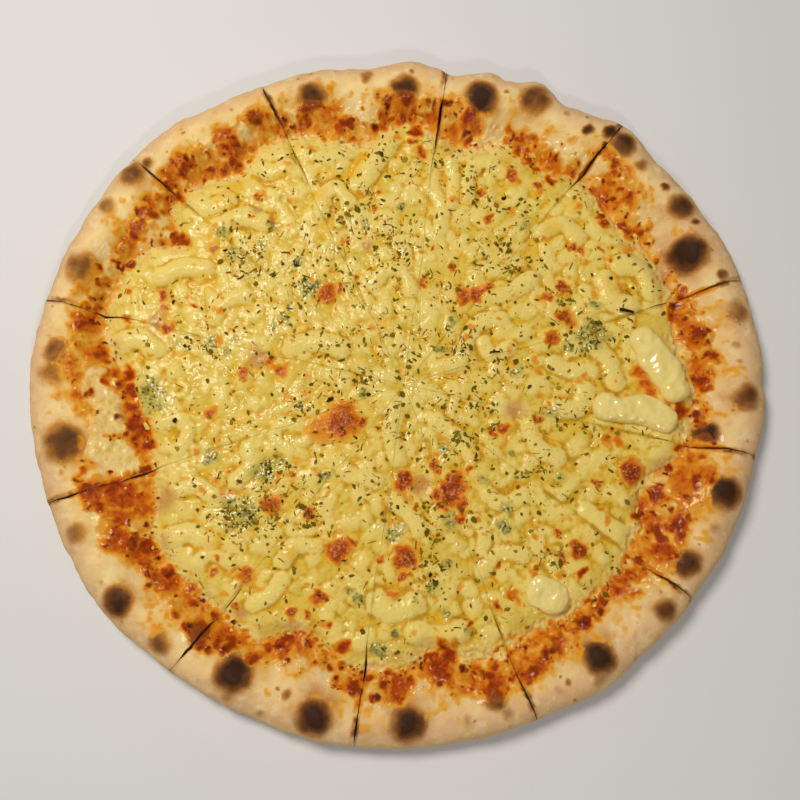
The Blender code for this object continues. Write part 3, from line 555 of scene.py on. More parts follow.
# how many bubbles and freckles, and how each kind of patch lies: share of its radius, strength, then how hard
# its edge is, how uneven, and how far it fades
toppingLook = {
    "bubbles": 1300, "freckles": 420, "freckleReach": 152, "seed": 8,
    "tomatoGlaze": (0.97, 1.12, 0.25, 1.8, 1.7), "oil": (1.3, 1, 0.3, 2, 1.8), "mould": (1, 1, 0.3, 1.8, 1.8),
    "pink": (1, 1, 0.3, 1.6, 1.8), "curd": (0.9, 1, 0.6, 1.8, 1.35), "tomato": (1.1, 1.4, 0.3, 2.2, 1.7),
}


def toppingSheets():
    # each 0 to 1 over the whole pizza, and the bumps that go with them
    brown, oil, mould, pink, curd, bumps, tomato = (np.zeros_like(sheetX) for _ in range(7))
    band = ease(sauceEdge + 3 + 2.5 * medium + 2 * large - sheetRadius, 0, 9)
    band *= ease(sheetRadius - cheeseEdge, -14, 1)
    near = ease(cheeseEdge + 12 + 4 * medium - sheetRadius, 0, 9)
    glaze = band * np.clip(0.2 + 0.4 * near + 0.55 * large + 0.5 * medium + 0.2 * small, 0.05, 1.05)
    larger, stronger, *edge = toppingLook["tomatoGlaze"]
    for x, y, size, strength in glazePatches:
        stampSpot(glaze, x, y, size * larger, strength * stronger, *edge)
    # the cheese keeps a clean pale edge beside the baked sauce
    pale = ease(sheetRadius - cheeseEdge, -20, -13) * (1 - ease(sheetRadius - edgeRagged, -4, 1))
    glaze *= 1 - 0.88 * pale
    inBand = [(*polar(turn, far), size, dark) for turn, far, size, dark in toastedDots
              if far < around(sauceTable, turn) + 6]
    for x, y, size, dark in brownSpots + shinyBubbles + inBand:
        stampSpot(oil, x, y, size * 1.35, 0.8, 0.0, 2.0, 2.1)
        stampSpot(glaze, x, y, size * 0.98, min(1.15, dark + 0.35), 0.4, 2.3, 1.55)
        stampSpot(brown, x, y, size * 0.74, dark * 0.88, 0.15, 2.2, 1.7)
    for x, y, size, _ in shinyBubbles:
        stampBump(bumps, x, y, size * 1.05, 0.5 * size**0.8)
    for x, y, size, _ in brownSpots:
        stampBump(bumps, x, y, size * 1.1, (0.3 if math.hypot(x, y) > 135 else 0.16) * size**0.7, 0.7)
    blotches = ease(0.8 * medium + 0.6 * small + 0.3 * fine, 0.28, 0.95) * ease(band, 0.4, 0.9)
    brown = np.maximum(brown, 0.78 * blotches)
    draw = random.Random(toppingLook["seed"])
    for _ in range(toppingLook["bubbles"]):
        # bubbles of sauce in the baked band, small ones commonest
        turn = draw.uniform(0, 360)
        low, high = around(cheeseTable, turn) - 2, around(sauceTable, turn) + 3
        x, y = polar(turn, draw.uniform(low, high))
        size = 0.8 + 2.4 * draw.random() ** 2.2
        stained = readAt(glaze, x, y)
        stampBump(bumps, x, y, size * 1.25, 0.5 * size**0.8)
        if stained > 0.25:
            stampSpot(glaze, x, y, size * 1.15, min(1.15, stained + draw.uniform(0.1, 0.5)), 0.5, 0.9, 1.5)
        if draw.random() < 0.42 and stained > 0.4:
            stampSpot(brown, x, y, size * draw.uniform(0.7, 1.1), draw.uniform(0.4, 0.95), 0.2, 1.2, 1.8)
        elif draw.random() < 0.5 and math.hypot(x, y) < high - 8:
            stampSpot(curd, x, y, size * draw.uniform(0.8, 2.0), draw.uniform(0.3, 0.9), 0.2, 2.4, 2.0)
    for _ in range(toppingLook["freckles"]):
        # freckles of browned cheese, in loose groups
        x, y = polar(draw.uniform(0, 360), toppingLook["freckleReach"] * math.sqrt(draw.random()))
        if lumpNoise(np.array([x]), np.array([y]), 26, 31)[0] > draw.uniform(-0.7, 0.5):
            stampSpot(glaze, x, y, draw.uniform(0.7, 2.4), draw.uniform(0.25, 0.7), 0.2, 1.8, 2.0)
    brown = np.clip(brown * (1 + 0.3 * small + 0.25 * fine), 0, 1)
    stampPatches(oil, oilPools, *toppingLook["oil"])
    stampPatches(mould, mouldPatches, *toppingLook["mould"])
    stampPatches(pink, pinkPatches, *toppingLook["pink"])
    rust = ease(large + 0.5 * medium, 0.35, 1.0) * ease(sheetRadius - cheeseEdge, -16, -3)
    pink = np.maximum(pink, 0.8 * rust * ease(cheeseEdge + 4 - sheetRadius, 0, 4))
    stampPatches(curd, curdPatches, *toppingLook["curd"])
    glaze *= 1 + 0.18 * ease(0.5 * sheetX - sheetY, 60, 150)
    broken = ease(lumpNoise(sheetX, sheetY, 5, 51), 0.25, 0.65)
    glaze *= 1.06 - 0.4 * broken * ease(sheetRadius - cheeseEdge, -6, 2)
    stampPatches(tomato, tomatoPatches, *toppingLook["tomato"])
    glaze = np.maximum(glaze, tomato)
    curd *= (1 - ease(bakeSheet, 0.12, 0.4)) * (1 - ease(tomato, 0.3, 0.9))
    # both thin out past the sauce, the same on it and on the crust beside it
    thin = ease(sauceEdge + 7 + 3 * medium + 1.5 * small - sheetRadius, 0, 11)
    glaze, brown = glaze * thin, brown * thin
    # a char on the glaze is a shiny brown one
    glossy = ease(blurred(glaze, 3.0), 0.12, 0.75) * ease(sheetRadius - cheeseEdge, -4, 4)
    brown = np.maximum(brown, 0.85 * bakeSheet * glossy**0.5)
    bakeSheet[:] = bakeSheet * (1 - 0.45 * glossy**2)
    return brown, glaze, oil, mould, pink, curd, bumps


brownSheet, glazeSheet, oilSheet, mouldSheet, pinkSheet, curdSheet, bumpSheet = toppingSheets()
print("topping sheets ready")

crustSheet = crustTop(sheetX, sheetY)
# the sauce lies on the crust, thins towards its own ragged edge and dips under the crust beyond it
sauceOn = ease(sauceEdge + 1.2 + 1.6 * medium + 1.2 * small - sheetRadius, 0, 7)
sauceSheet = crustSheet + 1.4 * sauceOn - 0.45 * (1 - sauceOn)
sauceSheet = sauceSheet + sauceOn * (bumpSheet + 0.18 * small + 0.06 * fine)
sauceSheet += curdSheet * (0.9 + 0.5 * medium + 0.35 * small)

# the melted sheet: shares of its relief, bumps and wet threads, then depth and width of the closed cuts, in mm
meltLook = {
    "reliefAtEdge": 0.35, "bumps": 0.8, "small": 0.2, "fine": 0.06, "threads": 0.42, "threadSize": 2.2,
    "cuts": ((0.5, 0.8), (0.3, 2.6)), "mouldDip": 0.5,
}
reliefSheet = cheeseRelief()
melt = ease(edgeRagged - sheetRadius, -0.4, 6) ** 0.6
veilSheet = (1 - ease(edgeRagged + 2 * small - sheetRadius, 1.0, 6.5)) * np.clip(0.75 + 0.5 * medium, 0, 1)
taper = ease(cheeseEdge - sheetRadius, 0, plan["cheeseTaper"])
ground = plan["cheeseBottom"] + plan["cheeseLip"] + (plan["cheeseThick"] - plan["cheeseLip"] + swell) * taper
wetSheet = ease(lumpNoise(sheetX, sheetY, 12, 21) + 0.4 * medium, 0.15, 0.75)
wetSheet = np.maximum(wetSheet, ease(blurred(mouldSheet, 2.5), 0.05, 0.4))
ridges = (1 - np.abs(lumpNoise(sheetX, sheetY, meltLook["threadSize"], 22))) ** 4
keep = meltLook["reliefAtEdge"]
ground += (
    reliefSheet * (keep + (1 - keep) * taper) + bumpSheet * meltLook["bumps"]
    + meltLook["small"] * small + meltLook["fine"] * fine - 0.35
)
ground += wetSheet * (meltLook["threads"] * ridges + 0.12 * fine)
# cuts closed up again in places while the cheese was soft
cutOpen = np.clip(0.05 + 0.8 * large + 0.5 * medium + 0.6 * ease(sheetRadius, 90, 150), 0, 1.1)
groove = sum(depth * np.exp(-((cutAway / width) ** 2)) for depth, width in meltLook["cuts"])
ground -= groove * cutOpen * ease(sheetRadius, 4, 30)
ground -= meltLook["mouldDip"] * mouldSheet * ease(small + 0.4 * fine, 0.1, 0.6)
cheeseSheet = sauceSheet - 0.25 + (np.maximum(ground, sauceSheet + 0.2) - sauceSheet + 0.25) * melt
# creases lie lower than what is round them, and the yellow oil runs there; the deep and shade tones paint shade
# into the hollows and creases
hollow = (blurred(cheeseSheet, 3.0) - cheeseSheet) * ease(edgeRagged - sheetRadius, 2, 10)
crease = ease(hollow, 0.02, 0.34)
# painted shade: the crease tones, and the painted shade most, grow towards the lower right, so that side comes
# out darker
lower = 0.07 * ease(0.7 * sheetX - sheetY, -10, 120)
threadSheet = ease(hollow + 0.08 * medium + lower, 0.2, 0.45) * ease(medium + large, -0.4, 0.6)
# painted shade: deep and shade darken the hollows and creases
hollowShadeSheet = ease(hollow + 0.12 * medium + lower, 0.02, 0.3)
shadeSheet = ease(hollow + 0.1 * small + 1.3 * lower, 0.17, 0.42) * ease(1.2 * large - medium + 0.6, -0.6, 0.6)
goldSheet = ease(blurred(cheeseSheet, 7.0) - cheeseSheet + 0.3 * medium + 0.2 * large, 0.1, 0.75)
goldSheet *= ease(cheeseEdge - sheetRadius, 2, 12) * 0.6
oilSheet *= 0.55 + 0.45 * ease(crease + 0.5 * medium, -0.1, 0.6)
oilSheet = np.maximum(np.maximum(oilSheet, goldSheet), crease * ease(large + 0.8 * medium, -0.6, 0.6))
# pale soft cheese on the raised strokes and lumps, made paler still towards the top and right as painted light
upper = 0.12 * ease(sheetY + 0.6 * sheetX, 20, 120)
paleAndLitSheet = ease(reliefSheet + 0.2 * medium + upper, 0.25, 1.0) * (1 - 0.6 * mouldSheet)
cutSheet = ease(-cutAway, -1.5, -0.2) * ease(sheetRadius, 3, 12) * np.clip(cutOpen + 0.3 * small, 0, 1)
print("cheese sheets ready")

# slices: every layer is a set of rows, from the lower tip outwards and back over the top
sliceBuild = {
    "rimColumns": 128, "sauceColumns": 128, "cheeseColumns": 144,
    "outerSteps": 9, "shoulderSteps": 20, "innerSteps": 52, "sauceStep": 0.65, "cheeseSteps": 266,
    "tip": 0.35, "cheeseGap": 0.012,
}


def cutSide(cut, radius, way):
    # how far a slice's side stands off its cut: half the gap, and the knife's small wander
    angle, width, opens = cut
    edge = roundTheRim(outlineReadings, angle)
    gap = sliceBuild["cheeseGap"]
    places = (0, opens - 12, opens + 4, (opens + edge) / 2 + 4, edge - 9, edge - 1, edge + 12)
    half = np.interp(radius, places, (gap, gap, width * 0.4, width / 2, width * 0.4, 0.25, 0.25))
    wander = 0.7 * np.sin(radius / 17 + angle) + 0.3 * np.sin(radius / 5.1 + 2 * angle)
    # the cut is pinched shut in places
    pinch = 0.62 + 0.5 * np.sin(radius / 6.1 + 2 * angle) + 0.25 * np.sin(radius / 2.3 + angle)
    half = np.maximum(half * np.clip(pinch, 0.1, 1.1), gap)
    torn = 0.2 * np.sin(radius / 1.3 + 3 * way + 2 * np.sin(radius / 3.1))
    return way * half + wander * ease(radius, 8, 60) + torn * ease(radius, opens - 12, opens + 4)


def rowPlaces(number, radiusRule, columns):
    first, second = cuts[number], cuts[(number + 1) % len(cuts)]
    opening = (second[0] - first[0]) % 360
    share = np.linspace(0, 1, columns + 1)
    nominal = first[0] + opening * share
    radius = np.maximum(radiusRule(nominal), sliceBuild["tip"])
    most = 0.98 * math.sin(math.radians(opening / 2))
    left = np.degrees(np.arcsin(np.clip(cutSide(first, radius, 1) / radius, -most, most)))
    right = np.degrees(np.arcsin(np.clip(cutSide(second, radius, -1) / radius, -most, most)))
    turn = np.radians(nominal + (1 - share) * left + share * right)
    return radius * np.cos(turn), radius * np.sin(turn)


def bridge(a, b):
    # triangles between two rows; one may have twice the columns of the other
    if len(a) < len(b):
        return bridge(b, a)[:, ::-1]
    if len(a) == len(b):
        sets = (a[:-1], a[1:], b[1:]), (a[:-1], b[1:], b[:-1])
    else:
        near, middle, far = a[:-1:2], a[1::2], a[2::2]
        sets = (near, middle, b[:-1]), (middle, b[1:], b[:-1]), (middle, far, b[1:])
    return np.concatenate([np.column_stack(corners) for corners in sets])


def coarseRows(number, height, top, columns, outward):
    # the hidden middle of a layer, with fewer columns towards the tip
    rows = []
    for radius, share in ((130, 2), (100, 4), (65, 8), (35, 16), (12, 16), (0, 16)):
        x, y = rowPlaces(number, lambda a: np.full_like(a, radius), max(columns // share, 1))
        rows.append((x, y, np.full_like(x, height), top))
    return rows[::-1] if outward else rows


def crustRows(number):
    columns = sliceBuild["rimColumns"]
    rows = coarseRows(number, 0.0, 0.0, columns, True)

    def add(radiusRule, heightRule, top, slant=None):
        x, y = rowPlaces(number, radiusRule, columns)
        z = heightRule(x, y)
        relief = readSheet(rimRelief, x, y)
        if slant is not None:
            # the side of the rim bulges outwards instead of up
            out = relief * math.cos(slant) / np.hypot(x, y)
            x, y, z = x + x * out, y + y * out, np.minimum(z + relief * math.sin(slant), plan["highest"])
        rows.append((x, y, z, top))

    for turn in np.linspace(0, math.pi / 2, sliceBuild["outerSteps"])[:-1]:
        inset, high = plan["footInset"] * (1 - math.sin(turn)), plan["bellyHeight"] * (1 - math.cos(turn))
        add(lambda a: around(outlineTable, a) - inset, lambda x, y: np.full_like(x, high), turn / math.pi * 1.2)
    for turn in np.linspace(0, math.pi / 2, sliceBuild["shoulderSteps"]):
        inset = plan["crestInset"] * (1 - math.cos(turn))
        add(lambda a: around(outlineTable, a) - inset, crustTop, 0.6 + 0.4 * math.sin(turn), turn)
    for share in np.linspace(0, 1, sliceBuild["innerSteps"])[1:]:
        def slope(a):
            crest = around(outlineTable, a) - plan["crestInset"]
            return crest + (around(cheeseTable, a) - 6 - crest) * share

        x, y = rowPlaces(number, slope, columns)
        z = crustTop(x, y)
        z += readSheet(rimRelief, x, y) * np.clip((z - plan["baseThick"]) / 5, 0, 1)
        z = np.minimum(z, plan["highest"])
        rows.append((x, y, z, 1.0))
    return rows + coarseRows(number, plan["baseThick"], 1.0, columns, False)


def bandRows(number, inner, outer, step, topSheet, lower, upper, sink, columns):
    # a topping: its flat middle is hidden, and its outer band follows what it lies on
    rows = coarseRows(number, lower, 0.0, columns, True)
    for share in np.linspace(0, 1, 16):
        x, y = rowPlaces(number, lambda a: inner(a) + (outer(a) - inner(a)) * share, columns)
        rows.append((x, y, np.maximum(readSheet(topSheet, x, y) - sink, lower), 0.0))
    steps = int(max(np.max(outer(turns) - inner(turns)) / step, 2))
    for share in np.linspace(1, 0, steps):
        x, y = rowPlaces(number, lambda a: inner(a) + (outer(a) - inner(a)) * share, columns)
        rows.append((x, y, readSheet(topSheet, x, y), 1.0))
    return rows + coarseRows(number, upper, 1.0, columns, False)


def sauceRows(number):
    return bandRows(
        number, lambda a: around(cheeseTable, a) - 8, lambda a: around(sauceTable, a) + 4,
        sliceBuild["sauceStep"], sauceSheet, plan["sauceBottom"], plan["sauceBottom"] + plan["sauceThick"], 0.9,
        sliceBuild["sauceColumns"],
    )


def cheeseRows(number):
    columns = sliceBuild["cheeseColumns"]

    def outer(a):
        return around(cheeseTable, a) + 5.5

    rows = coarseRows(number, plan["cheeseBottom"], 0.0, columns, True)
    for inset in (13, 9, 5.5, 2.5, 0):
        x, y = rowPlaces(number, lambda a: outer(a) - inset, columns)
        under = readSheet(sauceSheet, x, y) - (0.5 if inset < 6 else -0.2)
        rows.append((x, y, under, 0.0))
    for share in np.linspace(1, 0, sliceBuild["cheeseSteps"]):
        reach = 160 * share
        fewer = 1 if reach > 80 else 2 if reach > 40 else 4 if reach > 20 else 8 if reach > 8 else 16
        x, y = rowPlaces(number, lambda a: outer(a) * share, columns // fewer)
        rows.append((x, y, readSheet(cheeseSheet, x, y), 1.0))
    return rows


def addPiece(name, data):
    made = bpy.data.objects.new(name, data)
    bpy.context.scene.collection.objects.link(made)
    return made


def markMesh(mesh, masks):
    for label, value in masks.items():
        mesh.attributes.new(label, "FLOAT", "POINT").data.foreach_set("value", value.astype(np.float32).ravel())


def buildSlice(name, rows, skins, sheets):
    starts = np.cumsum([0] + [len(row[0]) for row in rows])
    points = np.concatenate([np.column_stack(row[:3]) for row in rows])
    tops = np.concatenate([np.full(len(row[0]), row[3]) for row in rows])
    indexes = [np.arange(starts[k], starts[k + 1]) for k in range(len(rows))]
    triangles = np.concatenate([bridge(a, b) for a, b in zip(indexes, indexes[1:] + indexes[:1])])
    left = np.array([row[0] for row in indexes])
    right = np.array([row[-1] for row in indexes])[::-1]
    # the two cut walls are one face each
    fans = [np.column_stack([np.full(len(wall) - 2, wall[0]), wall[2:], wall[1:-1]]) for wall in (left, right)]
    whole = points[np.concatenate([triangles] + fans)]
    volume = np.einsum("ij,ij->i", whole[:, 0], np.cross(whole[:, 1], whole[:, 2])).sum()
    walls = [left[::-1], right[::-1]]
    if volume < 0:
        triangles, walls = triangles[:, ::-1], [wall[::-1] for wall in walls]
    mesh = bpy.data.meshes.new(name)
    placed = (points + (hubX, hubY, 0)) * mm
    mesh.vertices.add(len(placed))
    mesh.vertices.foreach_set("co", placed.astype(np.float32).ravel())
    corners = np.concatenate([triangles.ravel()] + walls)
    mesh.loops.add(len(corners))
    mesh.loops.foreach_set("vertex_index", corners.astype(np.int32))
    count = len(triangles)
    loopStarts = np.concatenate([np.arange(count) * 3, [count * 3, count * 3 + len(walls[0])]])
    mesh.polygons.add(len(loopStarts))
    mesh.polygons.foreach_set("loop_start", loopStarts.astype(np.int32))
    flat = np.arange(len(loopStarts)) >= count
    mesh.polygons.foreach_set("use_smooth", ~flat)
    mesh.polygons.foreach_set("material_index", flat.astype(np.int32))
    mesh.update(calc_edges=True)
    mesh.validate()
    masks = {label: readSheet(sheet, points[:, 0], points[:, 1]) * tops for label, sheet in sheets.items()}
    markMesh(mesh, {**masks, "under": 1 - tops})
    for skin in skins:
        mesh.materials.append(skin)
    return addPiece(name, mesh)


# materials: helpers first, then the shared effects, then one material for each finish

current = {}  # the node tree that is being filled


def feed(socket, value):
    if isinstance(value, bpy.types.NodeSocket):
        current["tree"].links.new(value, socket)
    else:
        socket.default_value = value


def put(kind, inputs=None, **settings):
    node = current["tree"].nodes.new(kind)
    for key, value in settings.items():
        setattr(node, key, value)
    for key, value in (inputs or {}).items():
        feed(node.inputs[key], value)
    return node


def blend(share, under, over):
    under, over = ((*tone, 1.0) if isinstance(tone, tuple) else tone for tone in (under, over))
    return put("ShaderNodeMix", {0: share, 6: under, 7: over}, data_type="RGBA", clamp_factor=True).outputs[2]


def span(value, low, high, toLow=0.0, toHigh=1.0):
    return put("ShaderNodeMapRange", {"Value": value, "From Min": low, "From Max": high, "To Min": toLow,
                                      "To Max": toHigh}, interpolation_type="SMOOTHSTEP").outputs["Result"]


def count(way, first, second):
    return put("ShaderNodeMath", {0: first, 1: second}, operation=way).outputs[0]


def times(first, second):
    return count("MULTIPLY", first, second)


def mask(label):
    return put("ShaderNodeAttribute", attribute_name=label).outputs["Fac"]


def grain(lumpMm, detail=2.0, rough=0.5):
    # noise with lumps of a size in mm
    scale = 1000 / lumpMm if isinstance(lumpMm, (int, float)) else count("DIVIDE", 1000.0, lumpMm)
    place = put("ShaderNodeTexCoord").outputs["Object"]
    return put("ShaderNodeTexNoise", {"Vector": place, "Scale": scale, "Detail": detail,
                                      "Roughness": rough}).outputs["Fac"]


def uneven(amount, *lumps):
    # a grain that goes below and above nought
    return times(count("SUBTRACT", grain(*lumps), 0.5), amount)


def newGroup(name, inputs, outputs):
    group = current["tree"] = bpy.data.node_groups.new(name, "ShaderNodeTree")
    for way, labels in (("INPUT", inputs), ("OUTPUT", outputs)):
        for label, value in labels.items():
            kind = "NodeSocketColor" if isinstance(value, tuple) else "NodeSocketFloat"
            group.interface.new_socket(label, in_out=way, socket_type=kind).default_value = value
    return group, group.nodes.new("NodeGroupInput").outputs, group.nodes.new("NodeGroupOutput").inputs


def useGroup(group, **inputs):
    return put("ShaderNodeGroup", inputs, node_tree=group).outputs


doughTones = {
    # beige is the rim's outer side, partly painted shade
    "cream": (0.95, 0.69, 0.295), "beige": (0.81, 0.50, 0.24), "flour": (0.96, 0.78, 0.41),
    "oiled": (0.86, 0.49, 0.105), "golden": (0.64, 0.275, 0.042), "toast": (0.50, 0.245, 0.082),
    "brown": (0.205, 0.074, 0.019), "char": (0.046, 0.018, 0.008), "ash": (0.060, 0.032, 0.022),
    "crumb": (0.68, 0.45, 0.19), "underside": (0.50, 0.29, 0.11),
}
glazeTones = {
    "stain": (0.83, 0.38, 0.032), "orange": (0.68, 0.178, 0.004), "tomato": (0.48, 0.068, 0.005),
    "rust": (0.27, 0.035, 0.002), "burnt": (0.080, 0.015, 0.004),
}
cheeseTones = {
    "cheese": (0.80, 0.575, 0.095), "pale": (0.90, 0.69, 0.185), "thin": (0.70, 0.54, 0.092),
    "oil": (0.90, 0.48, 0.008), "thread": (0.80, 0.34, 0.005), "pink": (0.58, 0.23, 0.070),
    "mould": (0.54, 0.465, 0.108), "smudge": (0.20, 0.172, 0.018), "vein": (0.045, 0.044, 0.005),
    # deep and shade are painted shade for the hollows and creases of the cheese
    "cut": (0.50, 0.31, 0.045), "deep": (0.74, 0.43, 0.025), "curd": (0.92, 0.70, 0.27),
    "curdLow": (0.86, 0.55, 0.12), "veil": (0.84, 0.60, 0.27), "shade": (0.54, 0.29, 0.016),
    # the pinkish blister tone is blistered skin and partly painted highlight
    "dust": (0.23, 0.17, 0.018), "dollop": (0.94, 0.745, 0.255), "blisterAndSheen": (0.80, 0.36, 0.13),
}
anyTone = (0.8, 0.6, 0.3, 1.0)


def bakedToneGroup():
    # dough colour, from raw through golden or smoky and brown to charred with a greyer middle
    group, given, out = newGroup("bakedTone", {"Dough": anyTone, "Bake": 0.0, "Smoky": 0.5}, {"Color": anyTone})
    patchy = times(uneven(0.16, 1.6, 4, 0.6), span(given["Bake"], 0.02, 0.2))
    bake = count("ADD", given["Bake"], patchy)
    toast = blend(given["Smoky"], doughTones["golden"], doughTones["toast"])
    colour = blend(span(bake, 0.02, 0.36), given["Dough"], toast)
    colour = blend(span(bake, 0.22, 0.66), colour, doughTones["brown"])
    colour = blend(span(bake, 0.52, 0.98), colour, doughTones["char"])
    feed(out["Color"], blend(times(span(bake, 0.9, 1.06), grain(0.9, 3)), colour, doughTones["ash"]))
    return group


def tomatoGlazeGroup():
    # tomato and browned oil over another colour, with darker places where it was baked hard
    group, given, out = newGroup("tomatoGlaze", {"Under": anyTone, "Glaze": 0.0, "Brown": 0.0},
                                 {"Color": anyTone, "Shine": 0.0})
    amount = count("ADD", given["Glaze"], uneven(0.5, 2.2, 4, 0.62))
    amount = times(amount, span(given["Glaze"], 0.04, 0.3))
    colour = blend(span(amount, 0.0, 0.5), given["Under"], glazeTones["stain"])
    colour = blend(span(amount, 0.35, 0.95), colour, glazeTones["orange"])
    deep = count("ADD", amount, uneven(1.25, 3.2, 5, 0.7))
    colour = blend(span(deep, 0.80, 1.25), colour, glazeTones["tomato"])
    colour = blend(span(deep, 1.15, 1.5), colour, glazeTones["rust"])
    brown = count("ADD", given["Brown"], uneven(0.35, 1.1, 3))
    brown = times(brown, span(given["Brown"], 0.05, 0.3))
    colour = blend(span(brown, 0.25, 0.75), colour, glazeTones["rust"])
    feed(out["Color"], blend(span(brown, 0.72, 1.02), colour, glazeTones["burnt"]))
    feed(out["Shine"], span(amount, 0.2, 0.7))
    return group


def foodGrainGroup():
    # fine uneven skin for bumps: soft lumps with tighter pores
    group, given, out = newGroup("foodGrain", {"LumpMm": 1.5, "PoreMm": 0.6, "Pores": 0.3}, {"Height": 0.0})
    place = put("ShaderNodeTexCoord").outputs["Object"]
    pore = put("ShaderNodeTexVoronoi", {"Vector": place, "Scale": count("DIVIDE", 1000.0, given["PoreMm"])},
               feature="F1").outputs["Distance"]
    feed(out["Height"], count("ADD", grain(given["LumpMm"], 3.0), times(pore, given["Pores"])))
    return group


bakedTone, tomatoGlaze, foodGrain = bakedToneGroup(), tomatoGlazeGroup(), foodGrainGroup()


def foodSkin(lump, pore, pores):
    return useGroup(foodGrain, LumpMm=lump, PoreMm=pore, Pores=pores)["Height"]


def newMaterial(name):
    made = bpy.data.materials.new(name)
    made.use_nodes = True
    current["tree"] = made.node_tree
    return made


def finishMaterial(made, colour, roughness, height, distance, **inputs):
    # distance is the bump's depth in mm
    bump = put("ShaderNodeBump", {"Height": height, "Distance": distance * mm, "Strength": 1.0})
    inputs |= {"Base Color": colour, "Roughness": roughness, "Normal": bump.outputs["Normal"]}
    for label, value in inputs.items():
        feed(made.node_tree.nodes["Principled BSDF"].inputs[label.replace("_", " ")], value)
    return made


def layered(tone, *layers):
    # each layer's colour lies over what is under it, where its grain is strong
    for over, lumps, *reach in layers:
        tone = blend(span(grain(*lumps), *reach), tone, over)
    return tone


def doughColour():
    # cream on the crest, beige towards the outside, partly painted shade and more so towards the lower right,
    # with dusty flour and soft mottling
    outside = count("ADD", mask("rimOutAndShade"), uneven(1.6, 16, 4, 0.6))
    tone = blend(outside, doughTones["cream"], doughTones["beige"])
    tone = layered(tone, (doughTones["flour"], (7, 5, 0.62), 0.50, 0.70, 0, 0.55))
    tone = blend(mask("stained"), tone, doughTones["oiled"])
    return layered(tone, (doughTones["golden"], (11, 4, 0.6), 0.54, 0.74, 0, 0.35),
                   (doughTones["golden"], (2.2, 4, 0.6), 0.60, 0.78, 0, 0.35))


# the toast is smokier on the outside, and towards the lower right as painted shade
def bakedDough(dough):
    return useGroup(bakedTone, Dough=dough, Bake=mask("bake"), Smoky=mask("rimOutAndShade"))["Color"]


def crustMaterial():
    made = newMaterial("bakedCrust")
    tone = bakedDough(blend(mask("under"), doughColour(), doughTones["underside"]))
    glazed = useGroup(tomatoGlaze, Under=tone, Glaze=mask("glaze"), Brown=mask("brown"))
    colour = blend(span(mask("bake"), 0.32, 0.72), glazed["Color"], tone)
    rough = count("SUBTRACT", span(mask("bake"), 0.3, 1, 0.62, 0.5), times(glazed["Shine"], 0.3))
    return finishMaterial(made, colour, rough, foodSkin(1.8, 0.7, 0.4), 0.22, Specular_IOR_Level=0.06)


def sauceMaterial():
    made = newMaterial("bakedSauce")
    baked = bakedDough(doughColour())
    cheese = layered(cheeseTones["curd"], (cheeseTones["curdLow"], (3, 4), 0.35, 0.7))
    tone = blend(mask("curd"), baked, cheese)
    tone = blend(mask("pink"), tone, cheeseTones["pink"])
    glaze = times(mask("glaze"), span(mask("curd"), 0, 1, 1, 0.25))
    glazed = useGroup(tomatoGlaze, Under=tone, Glaze=glaze, Brown=mask("brown"))
    colour = blend(span(mask("bake"), 0.32, 0.72), glazed["Color"], baked)
    return finishMaterial(made, colour, span(glazed["Shine"], 0, 1, 0.5, 0.27), foodSkin(1.4, 0.8, 0.4), 0.3,
                          Coat_Roughness=0.05, Specular_IOR_Level=0.05,
                          Coat_Weight=span(mask("bake"), 0.2, 0.6, 0.3, 0.02))


def cheeseMaterial():
    made = newMaterial("meltedCheese")
    patchy = grain(9, 4, 0.55)
    tone = blend(span(patchy, 0.45, 0.72, 0, 0.75), cheeseTones["cheese"], cheeseTones["thin"])
    # deep and shade lay painted shade into the hollows and creases
    for label, most in (("pale", 1.0), ("deep", 0.75), ("oil", 0.85), ("veil", 0.9), ("thread", 0.8),
                        ("shade", 0.85), ("pink", 0.7), ("mould", 0.8)):
        tone = blend(times(mask(label), most), tone, cheeseTones[label])
    # veins in the blue cheese, then herb dust, thickest where the herbs are
    for label, share, lumps, *reach in (
        ("smudge", span(mask("mould"), 0.2, 0.7), (4, 4, 0.6), 0.48, 0.62, 0, 0.8),
        ("vein", span(mask("mould"), 0.45, 0.9), (2.2, 4, 0.6), 0.57, 0.64),
        ("dust", mask("dusty"), (1.0, 3, 0.6), 0.56, 0.66),
    ):
        tone = blend(times(share, span(grain(*lumps), *reach)), tone, cheeseTones[label])
    tone = blend(times(mask("cut"), 0.5), tone, cheeseTones["cut"])
    brown = count("SUBTRACT", mask("brown"), times(mask("blisterAndSheen"), 0.18))
    tone = useGroup(tomatoGlaze, Under=tone, Glaze=mask("glaze"), Brown=brown)["Color"]
    # thin blistered skin shows pale in the browned spots, a paler net that is partly painted highlight
    blisterAndSheen = times(span(mask("blisterAndSheen"), 0.15, 0.5), span(grain(1.7, 3, 0.6), 0.50, 0.64, 0, 0.6))
    tone = blend(blisterAndSheen, tone, cheeseTones["blisterAndSheen"])
    rough = span(count("ADD", patchy, times(mask("wet"), 0.3)), 0.3, 0.9, 0.5, 0.2)
    coat = times(span(mask("wet"), 0, 1, 0.2, 0.55), span(mask("glaze"), 0.1, 0.8, 1, 0.25))
    return finishMaterial(made, tone, rough, foodSkin(2.4, 0.9, 0.25), 0.28, Subsurface_Weight=0.2,
                          Subsurface_Radius=(1.0, 0.62, 0.22), Subsurface_Scale=0.002, Coat_Weight=coat,
                          Coat_Roughness=0.08, Specular_IOR_Level=0.06)


def cutMaterial(name, rough, skin, depth, tone, *layers):
    # what a knife leaves
    return finishMaterial(newMaterial(name), layered(tone, *layers), rough, foodSkin(*skin), depth)


